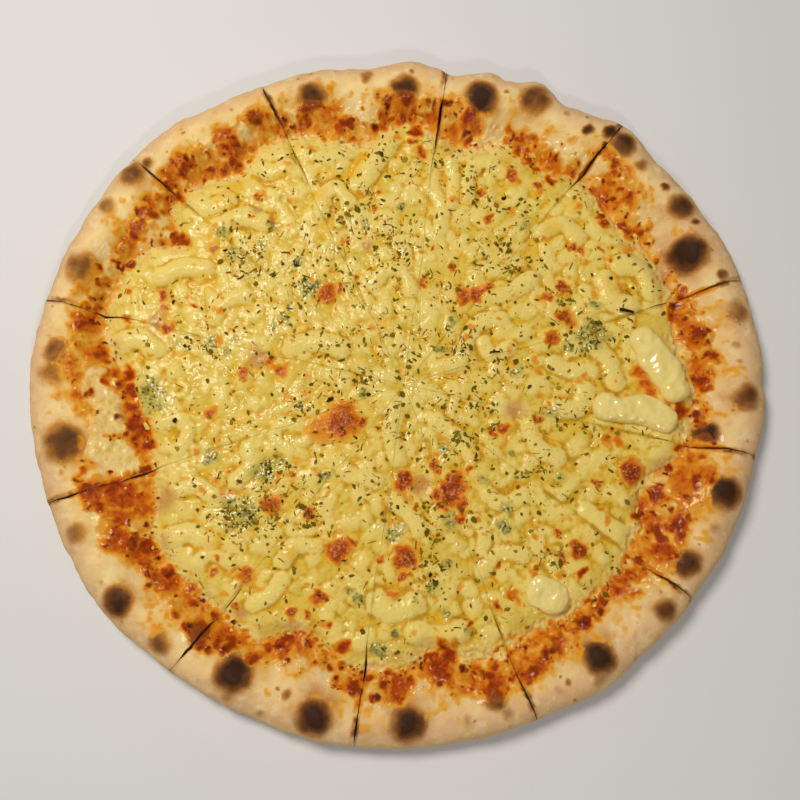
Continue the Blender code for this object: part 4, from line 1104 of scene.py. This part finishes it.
def creamMaterial():
    made = newMaterial("softCream")
    tone = layered(cheeseTones["dollop"], (cheeseTones["pale"], (7, 3), 0.4, 0.75, 0, 0.7))
    tone = blend(times(mask("foot"), span(grain(5, 3), 0.35, 0.65)), tone, cheeseTones["oil"])
    tone = useGroup(tomatoGlaze, Under=tone, Glaze=mask("glaze"))["Color"]
    return finishMaterial(made, tone, 0.28, foodSkin(3.0, 1.2, 0.12), 0.3, Subsurface_Weight=0.25,
                          Subsurface_Radius=(1.0, 0.65, 0.25), Subsurface_Scale=0.0025, Coat_Weight=0.8,
                          Coat_Roughness=0.07, Specular_IOR_Level=0.1)


def herbMaterial(name, roughness, *tones):
    # dried leaf colours, one draw for each bit
    made = newMaterial(name)
    ramp = put("ShaderNodeValToRGB", {"Fac": mask("tint")})
    stops = ramp.color_ramp.elements
    for k, tone in enumerate(tones):
        at = k / (len(tones) - 1)
        stop = stops[k] if k < 1 else stops.new(at) if k < len(tones) - 1 else stops[-1]
        stop.position, stop.color = at, (*tone, 1.0)
    tone = layered(ramp.outputs["Color"], (tones[0], (0.7, 3), 0.4, 0.7, 0, 0.5))
    return finishMaterial(made, tone, roughness, foodSkin(0.5, 0.3, 0.5), 0.08, Specular_IOR_Level=0.03)


crustSkin, sauceSkin = crustMaterial(), sauceMaterial()
cheeseSkin, creamSkin = cheeseMaterial(), creamMaterial()
crumbSkin = cutMaterial("cutCrumb", 0.8, (1.6, 1.2, 0.9), 0.5, doughTones["crumb"],
                        (doughTones["golden"], (4, 4), 0.35, 0.7),
                        (doughTones["brown"], (1.1, 3), 0.55, 0.75, 0, 0.6))
cheeseCutSkin = cutMaterial("cutCheese", 0.5, (1.5, 0.8, 0.4), 0.3, cheeseTones["cheese"],
                            (cheeseTones["cut"], (2.2, 3), 0.4, 0.7))
sauceCutSkin = cutMaterial("cutSauce", 0.45, (1.2, 0.8, 0.4), 0.3, glazeTones["orange"],
                           (glazeTones["tomato"], (2.0, 3), 0.4, 0.7))
print("materials ready")

# ropes of soft cheese: height with what is sunk in the cheese, then points and half widths along the middle
dollops = [
    (8.8, (132.6, 24.5, 8.3), (138, 15.5, 9.6), (144, 6, 9.4), (147.8, -1.5, 8.4)),
    (8.4, (110.5, -12.5, 8.0), (119, -14, 7.0), (130, -14, 8.8), (141, -19, 7.6)),
    (6.8, (73, -111.3, 8.8), (78, -113.6, 8.6)),
]


def dollopAway():
    away = np.full_like(sheetX, 99.0)
    for _, *points in dollops:
        for px, py, half in curvePoints(points, 12):
            away = np.minimum(away, np.hypot(sheetX - px, sheetY - py) - half)
    return away


# where the herbs fell thickest: x, y, radius
herbPlaces = [
    (-89, 69, 11), (-52, 55, 9), (-62, 70, 8), (-82, -68, 15), (-56, -67, 12), (15, -95, 9), (20, -80, 8),
    (101, 32, 12), (88, 45, 9), (28, -31, 11), (38, 109, 9), (-9, 86, 12), (51, 79, 10), (4, 12, 10),
    (-68, -45, 7), (95, -12, 9), (78, -92, 8), (-30, 60, 9), (18, -68, 9), (71, -45, 9), (33, 22, 10),
    (60, 70, 10), (-22, 2, 8), (-35, 95, 8), (12, 128, 9), (64, 98, 9), (-110, 22, 8), (40, -10, 8),
]


def herbCrowds():
    # thickest round the middle and above it, thin near the rim, none under the soft cheese
    clear = ease(dollopAway(), -0.5, 1.0) * ease(edgeRagged + 1 - sheetRadius, 0, 8) * ease(cutAway, 0.3, 0.9)
    above = np.exp(-(((sheetX + 5) / 60) ** 2 + ((sheetY - 95) / 45) ** 2))
    middle = np.exp(-((sheetRadius / 62) ** 2)) + 0.75 * above
    for x, y, size in herbPlaces:
        middle = np.maximum(middle, 3.2 * np.exp(-((sheetX - x) ** 2 + (sheetY - y) ** 2) / size**2))
    patchy = 0.7 + 1.0 * large + 0.9 * medium + 0.6 * small
    herbs = clear * np.clip((0.17 + 0.55 * middle) * patchy, 0.03, 2.2)
    beyond = ease(sauceEdge - 4 - sheetRadius, 0, 4) * ease(sheetRadius - edgeRagged, -3, 3) * 0.10
    veins = clear * np.clip(mouldSheet * (0.4 + 1.2 * small + 0.8 * fine), 0, 1)
    return herbs, np.maximum(herbs, beyond), veins


herbCrowd, pepperCrowd, mouldCrowd = herbCrowds()

# the layers of every slice, and what each point of them is told for its colour
# beige on the rim's outer side, partly painted shade, with painted shade growing towards the lower right
rimOutAndShade = ease(sheetRadius - rimEdge + plan["crestInset"] + 3 * large, -4, 9)
rimOutAndShade = np.clip(rimOutAndShade + 0.5 * ease(sheetX - 0.7 * sheetY, -60, 140), 0, 1)
stained = ease(sauceEdge + 11 + 8 * large + 5 * medium - sheetRadius, 0, 14)
stained *= 0.2 + 0.6 * ease(large + 0.5 * medium, -0.6, 0.7)
crustMasks = {"bake": bakeSheet, "glaze": np.maximum(glazeSheet, dripSheet), "brown": brownSheet,
              "rimOutAndShade": rimOutAndShade, "stained": stained}
sauceMasks = {**crustMasks, "curd": curdSheet, "pink": pinkSheet}
cheeseMasks = {
    "glaze": glazeSheet, "brown": brownSheet, "oil": oilSheet, "pale": paleAndLitSheet, "mould": mouldSheet,
    "pink": pinkSheet, "cut": cutSheet, "wet": wetSheet, "thread": threadSheet, "deep": hollowShadeSheet,
    "shade": shadeSheet, "veil": veilSheet, "dusty": np.clip(0.12 + 0.45 * herbCrowd, 0, 0.75),
    "blisterAndSheen": brownSheet * (1 - ease(sheetRadius - cheeseEdge, -10, 0)),
}


def finishPiece(piece, slot, *replaced):
    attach(piece, "root")
    if replaced:
        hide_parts(*replaced)


for number in range(len(cuts)):
    for slot, rowsRule, skins, masks in (
        ("crust", crustRows, (crustSkin, crumbSkin), crustMasks),
        ("sauce", sauceRows, (sauceSkin, sauceCutSkin), sauceMasks),
        ("cheese", cheeseRows, (cheeseSkin, cheeseCutSkin), cheeseMasks),
    ):
        tag = f"{number + 1:02d}"
        finishPiece(buildSlice(f"{slot}Slice_{tag}", rowsRule(number), skins, masks), slot, f"{slot}_{tag}")
print("slices ready")


def joinRings(made, rings):
    # closed rings of points become a skin with both ends shut
    rings = [[made.verts.new(point) for point in ring] for ring in rings]
    for near, far in zip(rings, rings[1:]):
        for k in range(len(near)):
            made.faces.new((near[k - 1], near[k], far[k], far[k - 1]))
    for ring in (rings[0], rings[-1][::-1]):
        made.faces.new(ring)


def closeMesh(made, name):
    bmesh.ops.recalc_face_normals(made, faces=made.faces)
    mesh = bpy.data.meshes.new(name)
    made.to_mesh(mesh)
    made.free()
    return mesh


def onPizza(x, y, z):
    return (x + hubX) * mm, (y + hubY) * mm, z * mm


dollopLook = {"depth": 2.4, "stations": 84, "sides": 56, "flat": 0.72, "lump": 1.1, "wander": 0.09}


def buildDollop(name, height, points):
    line = np.array(curvePoints(points, 60))
    runs = np.concatenate([[0], np.cumsum(np.hypot(*np.diff(line[:, :2], axis=0).T))])
    depth, rise = dollopLook["depth"], height - dollopLook["depth"]
    # stations bunch up in the blunt ends
    start, end = line[0, 2], line[-1, 2]
    share = np.linspace(0, 1, dollopLook["stations"])
    share = (1 - np.cos(share * math.pi)) / 4 + share / 2
    along = share * (runs[-1] + start + end) - start
    over = np.clip(np.maximum(-along / start, (along - runs[-1]) / end), 0, 1)
    size = np.maximum(1 - over**2.6, 0.0002) ** 0.5
    inside = np.clip(along, 0, runs[-1])
    middle = np.column_stack([np.interp(inside, runs, line[:, k]) for k in (0, 1)])
    half = np.interp(inside, runs, line[:, 2])
    way = np.column_stack([np.interp(inside, runs, np.gradient(line[:, k], runs)) for k in (0, 1)])
    way /= np.linalg.norm(way, axis=1)[:, None]
    middle += way * (along - inside)[:, None]
    turn = np.linspace(0, 2 * math.pi, dollopLook["sides"], endpoint=False)
    # a section with a flattened top and rounded shoulders
    wide, high = np.sign(np.cos(turn)) * np.abs(np.cos(turn)) ** 0.8, np.abs(np.sin(turn)) ** dollopLook["flat"]
    across = wide[None, :] * (half * size)[:, None]
    up = np.where(np.sin(turn) > 0, high * rise, -high * depth)[None, :] * size[:, None] ** 0.8
    wander = lumpNoise(middle[:, :1] + wide * 9, middle[:, 1:] + wide * 4, 8, 44)
    bulge = across * (1 + dollopLook["wander"] * wander)
    x, y = middle[:, :1] - way[:, 1:] * bulge, middle[:, 1:] + way[:, :1] * bulge
    ground = plan["cheeseBottom"] + plan["cheeseThick"] + readSheet(swell, *middle.T)[:, None] - 0.2
    top = np.clip(np.sin(turn), 0, 1)[None, :] ** 0.5 * size[:, None]
    # pressed facets, a soft fold and small dimples
    facets = -np.abs(lumpNoise(x + 300, y, 10, 41)) * 1.5 + 0.45 * lumpNoise(x, y + up, 3.4, 42)
    z = ground + up + top * (dollopLook["lump"] * facets - 0.1)
    made = bmesh.new()
    joinRings(made, [[onPizza(*point) for point in zip(*ring)] for ring in zip(x, y, z)])
    mesh = closeMesh(made, name)
    mesh.polygons.foreach_set("use_smooth", [True] * len(mesh.polygons))
    markMesh(mesh, {"foot": np.clip(1 - np.abs(up / rise) / 0.3, 0, 1) * (up > -0.5),
                    "glaze": readSheet(glazeSheet, x, y) * top * 0.25})
    mesh.materials.append(creamSkin)
    return addPiece(name, mesh)


for number, (height, *points) in enumerate(dollops, 1):
    finishPiece(buildDollop(f"softCheese_{number}", height, points), "soft_cheese", f"cream_dollop_{number}")
print("soft cheese ready")

# herbs and other bits: how many to a square metre where they lie thickest, and their size in mm
bits = {
    "leafBits": {"crowd": 175000, "size": (0.5, 4.8), "shapes": 14, "length": 2.9, "tilt": 0.4, "seed": 3},
    "stemBits": {"crowd": 21000, "size": (1.8, 5.0), "shapes": 5, "length": 8.0, "tilt": 0.2, "seed": 4},
    "pepperBits": {"crowd": 42000, "size": (0.35, 0.75), "shapes": 4, "length": 1.2, "tilt": 3.0, "seed": 5},
    "mouldBits": {"crowd": 90000, "size": (0.7, 3.6), "shapes": 7, "length": 1.6, "tilt": 0.6, "seed": 6},
}
bits["largeFlakes"] = {**bits["leafBits"], "size": (2.8, 4.8), "tilt": 0.25, "seed": 9, "atPoints": True}
bitLook = {"sides": 7, "stemRings": 4, "leafThick": 0.16, "crumbThick": 0.42, "skew": 2.1}
bitSkins = {
    "leafBits": herbMaterial(
        "driedLeaf", 0.75, (0.13, 0.082, 0.0035), (0.33, 0.22, 0.012), (0.05, 0.034, 0.002),
        (0.46, 0.31, 0.026), (0.24, 0.12, 0.004), (0.11, 0.096, 0.006),
    ),
    "stemBits": herbMaterial("driedStem", 0.7, (0.20, 0.095, 0.004), (0.40, 0.25, 0.03), (0.09, 0.042, 0.003)),
    "pepperBits": herbMaterial("groundPepper", 0.6, (0.060, 0.030, 0.002), (0.26, 0.08, 0.003),
                               (0.030, 0.018, 0.002), (0.34, 0.17, 0.01)),
    "mouldBits": herbMaterial("cheeseVein", 0.55, (0.04, 0.042, 0.003), (0.14, 0.128, 0.007),
                              (0.25, 0.22, 0.014), (0.055, 0.053, 0.003)),
    "singleBits": herbMaterial("darkBit", 0.45, (0.030, 0.020, 0.006), (0.07, 0.04, 0.01)),
}


def bitShape(name, kind, seed):
    # one closed bit, a unit long: a curled scrap of leaf, a bent stem or a crumb
    draw = random.Random(seed * 17 + len(name))
    made = bmesh.new()
    length = bits[kind]["length"] * draw.uniform(0.6, 1.6)
    if kind == "stemBits":
        bend, rings = draw.uniform(-0.12, 0.12), []
        for k in range(bitLook["stemRings"]):
            along, thick = k / (bitLook["stemRings"] - 1) - 0.5, draw.uniform(0.8, 1.2) / length
            rings.append([(along, bend * (1 - 4 * along**2) + thick * dy, thick * dz + thick * 0.6)
                          for dy, dz in ((0.5, 0), (0, 0.5), (-0.5, 0), (0, -0.5))])
        joinRings(made, rings)
    else:
        sides, curl = bitLook["sides"], draw.uniform(-0.5, 0.8)
        flat = bitLook["leafThick" if kind in ("leafBits", "largeFlakes") else "crumbThick"]
        rim = []
        for k in range(sides):
            turn = 2 * math.pi * (k + draw.uniform(-0.25, 0.25)) / sides
            x = math.cos(turn) / 2 * draw.uniform(0.45, 1)
            y = math.sin(turn) / 2 / length * draw.uniform(0.5, 1.5)
            rim.append(made.verts.new((x, y, flat * 0.4 + curl * y * y * 1.2 + draw.uniform(0, 0.05))))
        top, low = made.verts.new((0.05, 0.0, flat)), made.verts.new((0, 0, -0.04))
        for k in range(sides):
            made.faces.new((rim[k - 1], rim[k], top))
            made.faces.new((rim[k], rim[k - 1], low))
    return bpy.data.objects.new(name, closeMesh(made, name))


def scatterTree():
    # bits over a ground that says how crowded it is, or at the points of a loose mesh
    tree = current["tree"] = bpy.data.node_groups.new("scatterBits", "GeometryNodeTree")
    for label, kind in (
        ("Ground", "Geometry"), ("Bits", "Collection"), ("Crowd", "Float"), ("Smallest", "Float"),
        ("Largest", "Float"), ("Tilt", "Float"), ("Seed", "Int"), ("At Points", "Bool"),
        ("Material", "Material"),
    ):
        tree.interface.new_socket(label, in_out="INPUT", socket_type="NodeSocket" + kind)
    tree.interface.new_socket("Bits", in_out="OUTPUT", socket_type="NodeSocketGeometry")
    given, out = tree.nodes.new("NodeGroupInput").outputs, tree.nodes.new("NodeGroupOutput").inputs

    def draw(kind, low, high, shift):
        # a random node's sockets come in pairs, and its outputs in the same order
        index = ("FLOAT_VECTOR", "FLOAT", "INT").index(kind)
        seed = count("ADD", given["Seed"], float(shift))
        return put("FunctionNodeRandomValue", {2 * index: low, 2 * index + 1: high, "Seed": seed},
                   data_type=kind).outputs[index]

    def either(kind, spread, loose):
        return put("GeometryNodeSwitch", {"Switch": given["At Points"], "False": spread, "True": loose},
                   input_type=kind).outputs[0]

    crowd = put("GeometryNodeInputNamedAttribute", {"Name": "crowd"}, data_type="FLOAT").outputs["Attribute"]
    spread = put("GeometryNodeDistributePointsOnFaces", {
        "Mesh": given["Ground"], "Density": times(crowd, given["Crowd"]), "Seed": given["Seed"],
    }).outputs
    loose = put("GeometryNodeMeshToPoints", {"Mesh": given["Ground"]}).outputs["Points"]
    shapes = put("GeometryNodeCollectionInfo", {"Collection": given["Bits"], "Separate Children": True,
                                                "Reset Children": True}).outputs[0]
    lean = times(given["Tilt"], -1.0)
    low = put("ShaderNodeCombineXYZ", {"X": lean, "Y": lean, "Z": 0.0}).outputs[0]
    high = put("ShaderNodeCombineXYZ", {"X": given["Tilt"], "Y": given["Tilt"], "Z": 6.2832}).outputs[0]
    own = put("FunctionNodeEulerToRotation", {0: draw("FLOAT_VECTOR", low, high, 1)}).outputs[0]
    turned = put("FunctionNodeRotateRotation", {"Rotation": spread["Rotation"], "Rotate By": own},
                 rotation_space="LOCAL").outputs[0]
    # small bits are commoner than large ones
    sizes = put("ShaderNodeMapRange", {
        "Value": count("POWER", draw("FLOAT", 0.0, 1.0, 3), bitLook["skew"]), "To Min": given["Smallest"],
        "To Max": given["Largest"],
    }).outputs["Result"]
    placed = put("GeometryNodeInstanceOnPoints", {
        "Points": either("GEOMETRY", spread["Points"], loose), "Instance": shapes, "Pick Instance": True,
        "Instance Index": draw("INT", 0, 40, 2), "Rotation": either("ROTATION", turned, own), "Scale": sizes,
    }).outputs[0]
    tinted = put("GeometryNodeStoreNamedAttribute", {
        "Geometry": placed, "Name": "tint", "Value": draw("FLOAT", 0.0, 1.0, 4),
    }, data_type="FLOAT", domain="INSTANCE").outputs[0]
    real = put("GeometryNodeRealizeInstances", {"Geometry": tinted}).outputs[0]
    coated = put("GeometryNodeSetMaterial", {"Geometry": real, "Material": given["Material"]})
    feed(out["Bits"], coated.outputs[0])
    return tree


def scatter(name, ground, skin, tree):
    values = bits[name]
    shapes = bpy.data.collections.new(name + "Shapes")
    for k in range(values["shapes"]):
        shapes.objects.link(bitShape(f"{name}Shape{k}", name, values["seed"] * 10 + k))
    holder = addPiece(name + "Ground", ground)
    modifier = holder.modifiers.new("scatterBits", "NODES")
    modifier.node_group = tree
    given = {item.name: item.identifier for item in tree.interface.items_tree if item.in_out == "INPUT"}
    smallest, largest = values["size"]
    for label, value in {
        "Bits": shapes, "Crowd": float(values["crowd"]), "Smallest": smallest * mm, "Largest": largest * mm,
        "Tilt": float(values["tilt"]), "Seed": values["seed"], "At Points": values.get("atPoints", False),
        "Material": skin,
    }.items():
        modifier[given[label]] = value
    mesh = bpy.data.meshes.new_from_object(holder.evaluated_get(bpy.context.evaluated_depsgraph_get()))
    for loose in (holder, *shapes.objects):
        bpy.data.objects.remove(loose)
    bpy.data.collections.remove(shapes)
    mesh.name = name
    finishPiece(addPiece(name, mesh), "cheese")
    print(name, len(mesh.polygons))


def groundMesh(crowd, step=3):
    # a light copy of the cheese's surface that says how many bits lie where
    pick = slice(0, len(sheetLine), step)
    x, y = sheetX[pick, pick], sheetY[pick, pick]
    z = np.maximum(cheeseSheet, sauceSheet)[pick, pick]
    points = np.column_stack([values.ravel() for values in onPizza(x, y, z)])
    at = np.arange(x.size).reshape(x.shape)
    quads = np.stack([at[:-1, :-1], at[:-1, 1:], at[1:, 1:], at[1:, :-1]], axis=-1).reshape(-1, 4)
    share = crowd[pick, pick].ravel()
    quads = quads[share[quads].max(axis=1) > 0.005]
    mesh = bpy.data.meshes.new("herbGround")
    mesh.from_pydata(points.tolist(), [], quads.tolist())
    markMesh(mesh, {"crowd": share})
    return mesh


# the larger flakes that the solids carry too, on a spiral that spreads them evenly
flakes = {"number": 125, "turn": 137.508, "reach": 134, "seed": 11}


def flakeMesh():
    draw = random.Random(flakes["seed"])
    away, points = dollopAway(), []
    for n in range(flakes["number"]):
        turn = n * flakes["turn"] + draw.uniform(-4, 4)
        x, y = polar(turn, flakes["reach"] * ((n + 0.5) / flakes["number"]) ** 0.6)
        # the solids' flakes draw a length, a width and a turn each
        length, _, _ = draw.uniform(3, 5.5), draw.uniform(1.6, 2.4), draw.uniform(0, 2 * math.pi)
        if readAt(cutAway, x, y) > length / 2 + 1 and readAt(away, x, y) > length / 2 + 1.5:
            points.append(onPizza(x, y, readAt(cheeseSheet, x, y)))
    mesh = bpy.data.meshes.new("flakePlaces")
    mesh.from_pydata(points, [], [])
    return mesh


bitTree = scatterTree()
for name, crowd in (("leafBits", herbCrowd), ("stemBits", herbCrowd), ("pepperBits", pepperCrowd),
                    ("mouldBits", mouldCrowd)):
    scatter(name, groundMesh(crowd), bitSkins[name], bitTree)
scatter("largeFlakes", flakeMesh(), bitSkins["leafBits"], bitTree)

# single dark bits that stand out: x, y, length, direction
singleBits = [
    (-12, 147, 4.6, 80), (51, 126, 4, 20), (-26, 121, 3, 60), (18, 129, 3.6, 100), (123, 41, 8, -12),
    (-124, -20, 5, 40), (-128, 47, 4.2, 75), (-91, 61, 4.4, 30), (-112, 43, 3.4, 110), (-40, -8, 7, 25),
    (50, 18, 5.6, 5), (57, 108, 4.2, 40), (-100, 77, 5, 20), (86, -60, 3.4, 150), (-60, 68, 5.4, -20),
    (14, -102, 4, 60), (-30, -48, 3.6, 10), (63, -88, 3.6, 70),
]


def buildSingleBits():
    # each is a curled scrap or a stem, laid flat on the cheese
    made = bmesh.new()
    for n, (x, y, length, turn) in enumerate(singleBits):
        shape = bitShape(f"single{n}", "stemBits" if n % 3 == 1 else "leafBits", 70 + n)
        place = Matrix.Translation(onPizza(x, y, readAt(cheeseSheet, x, y) + 0.3))
        shape.data.transform(place @ Matrix.Rotation(math.radians(turn), 4, "Z") @ Matrix.Scale(length * mm, 4))
        made.from_mesh(shape.data)
        bpy.data.objects.remove(shape)
    mesh = closeMesh(made, "singleBits")
    mesh.materials.append(bitSkins["singleBits"])
    finishPiece(addPiece("singleBits", mesh), "cheese")


buildSingleBits()

# floor, light and camera
stageLook = {
    "floorColour": (0.80, 0.79, 0.775), "floorSize": 4.0, "worldColour": (0.93, 0.96, 1.0, 1), "world": 0.185,
    "lightColour": (1.0, 0.955, 0.89),
    "lens": 41.715, "distance": 506.0, "tilt": 10.2, "target": (-2.0, -8.3, 10.0),  # distances in mm
}
# power, size, where it stands and where it points, in metres
lights = {
    "overhead": (6.9, 0.36, (-0.34, 0.32, 0.92), (0, 0, 0)),
    "glints": (1.8, 0.10, (0.12, -0.75, 0.8), (0, -0.03, 0)),
}


def buildFloor():
    made = bmesh.new()
    bmesh.ops.create_grid(made, x_segments=8, y_segments=8, size=stageLook["floorSize"])
    mesh = bpy.data.meshes.new("paleFloor")
    made.to_mesh(mesh)
    made.free()
    skin = newMaterial("paleFloor")
    tone = blend(grain(180, 3), stageLook["floorColour"], tuple(0.97 * c for c in stageLook["floorColour"]))
    mesh.materials.append(finishMaterial(skin, tone, 0.9, grain(2.5, 2), 0.05))
    addPiece("paleFloor", mesh)


def addLight(name, power, size, place, target):
    light = bpy.data.lights.new(name, "AREA")
    light.energy, light.size, light.shape, light.color = power, size, "DISK", stageLook["lightColour"]
    made = addPiece(name, light)
    made.location = place
    made.rotation_euler = (Vector(target) - Vector(place)).to_track_quat("-Z", "Y").to_euler()


def addCamera():
    tilt = math.radians(stageLook["tilt"])
    camera = bpy.data.cameras.new("photoCamera")
    camera.lens, camera.sensor_width, camera.clip_start = stageLook["lens"], 36.0, 0.02
    made = addPiece("photoCamera", camera)
    away = Vector((0, -math.sin(tilt), math.cos(tilt))) * stageLook["distance"] * mm
    made.location = Vector(onPizza(*stageLook["target"])) + away
    made.rotation_euler = (tilt, 0, 0)
    bpy.context.scene.camera = made


buildFloor()
for name, look in lights.items():
    addLight(name, *look)
addCamera()
world = bpy.data.worlds.new("paleWorld")
world.use_nodes = True
sky = world.node_tree.nodes["Background"].inputs
sky["Color"].default_value, sky["Strength"].default_value = stageLook["worldColour"], stageLook["world"]
bpy.context.scene.world = world
bpy.context.scene.view_settings.view_transform = "Standard"
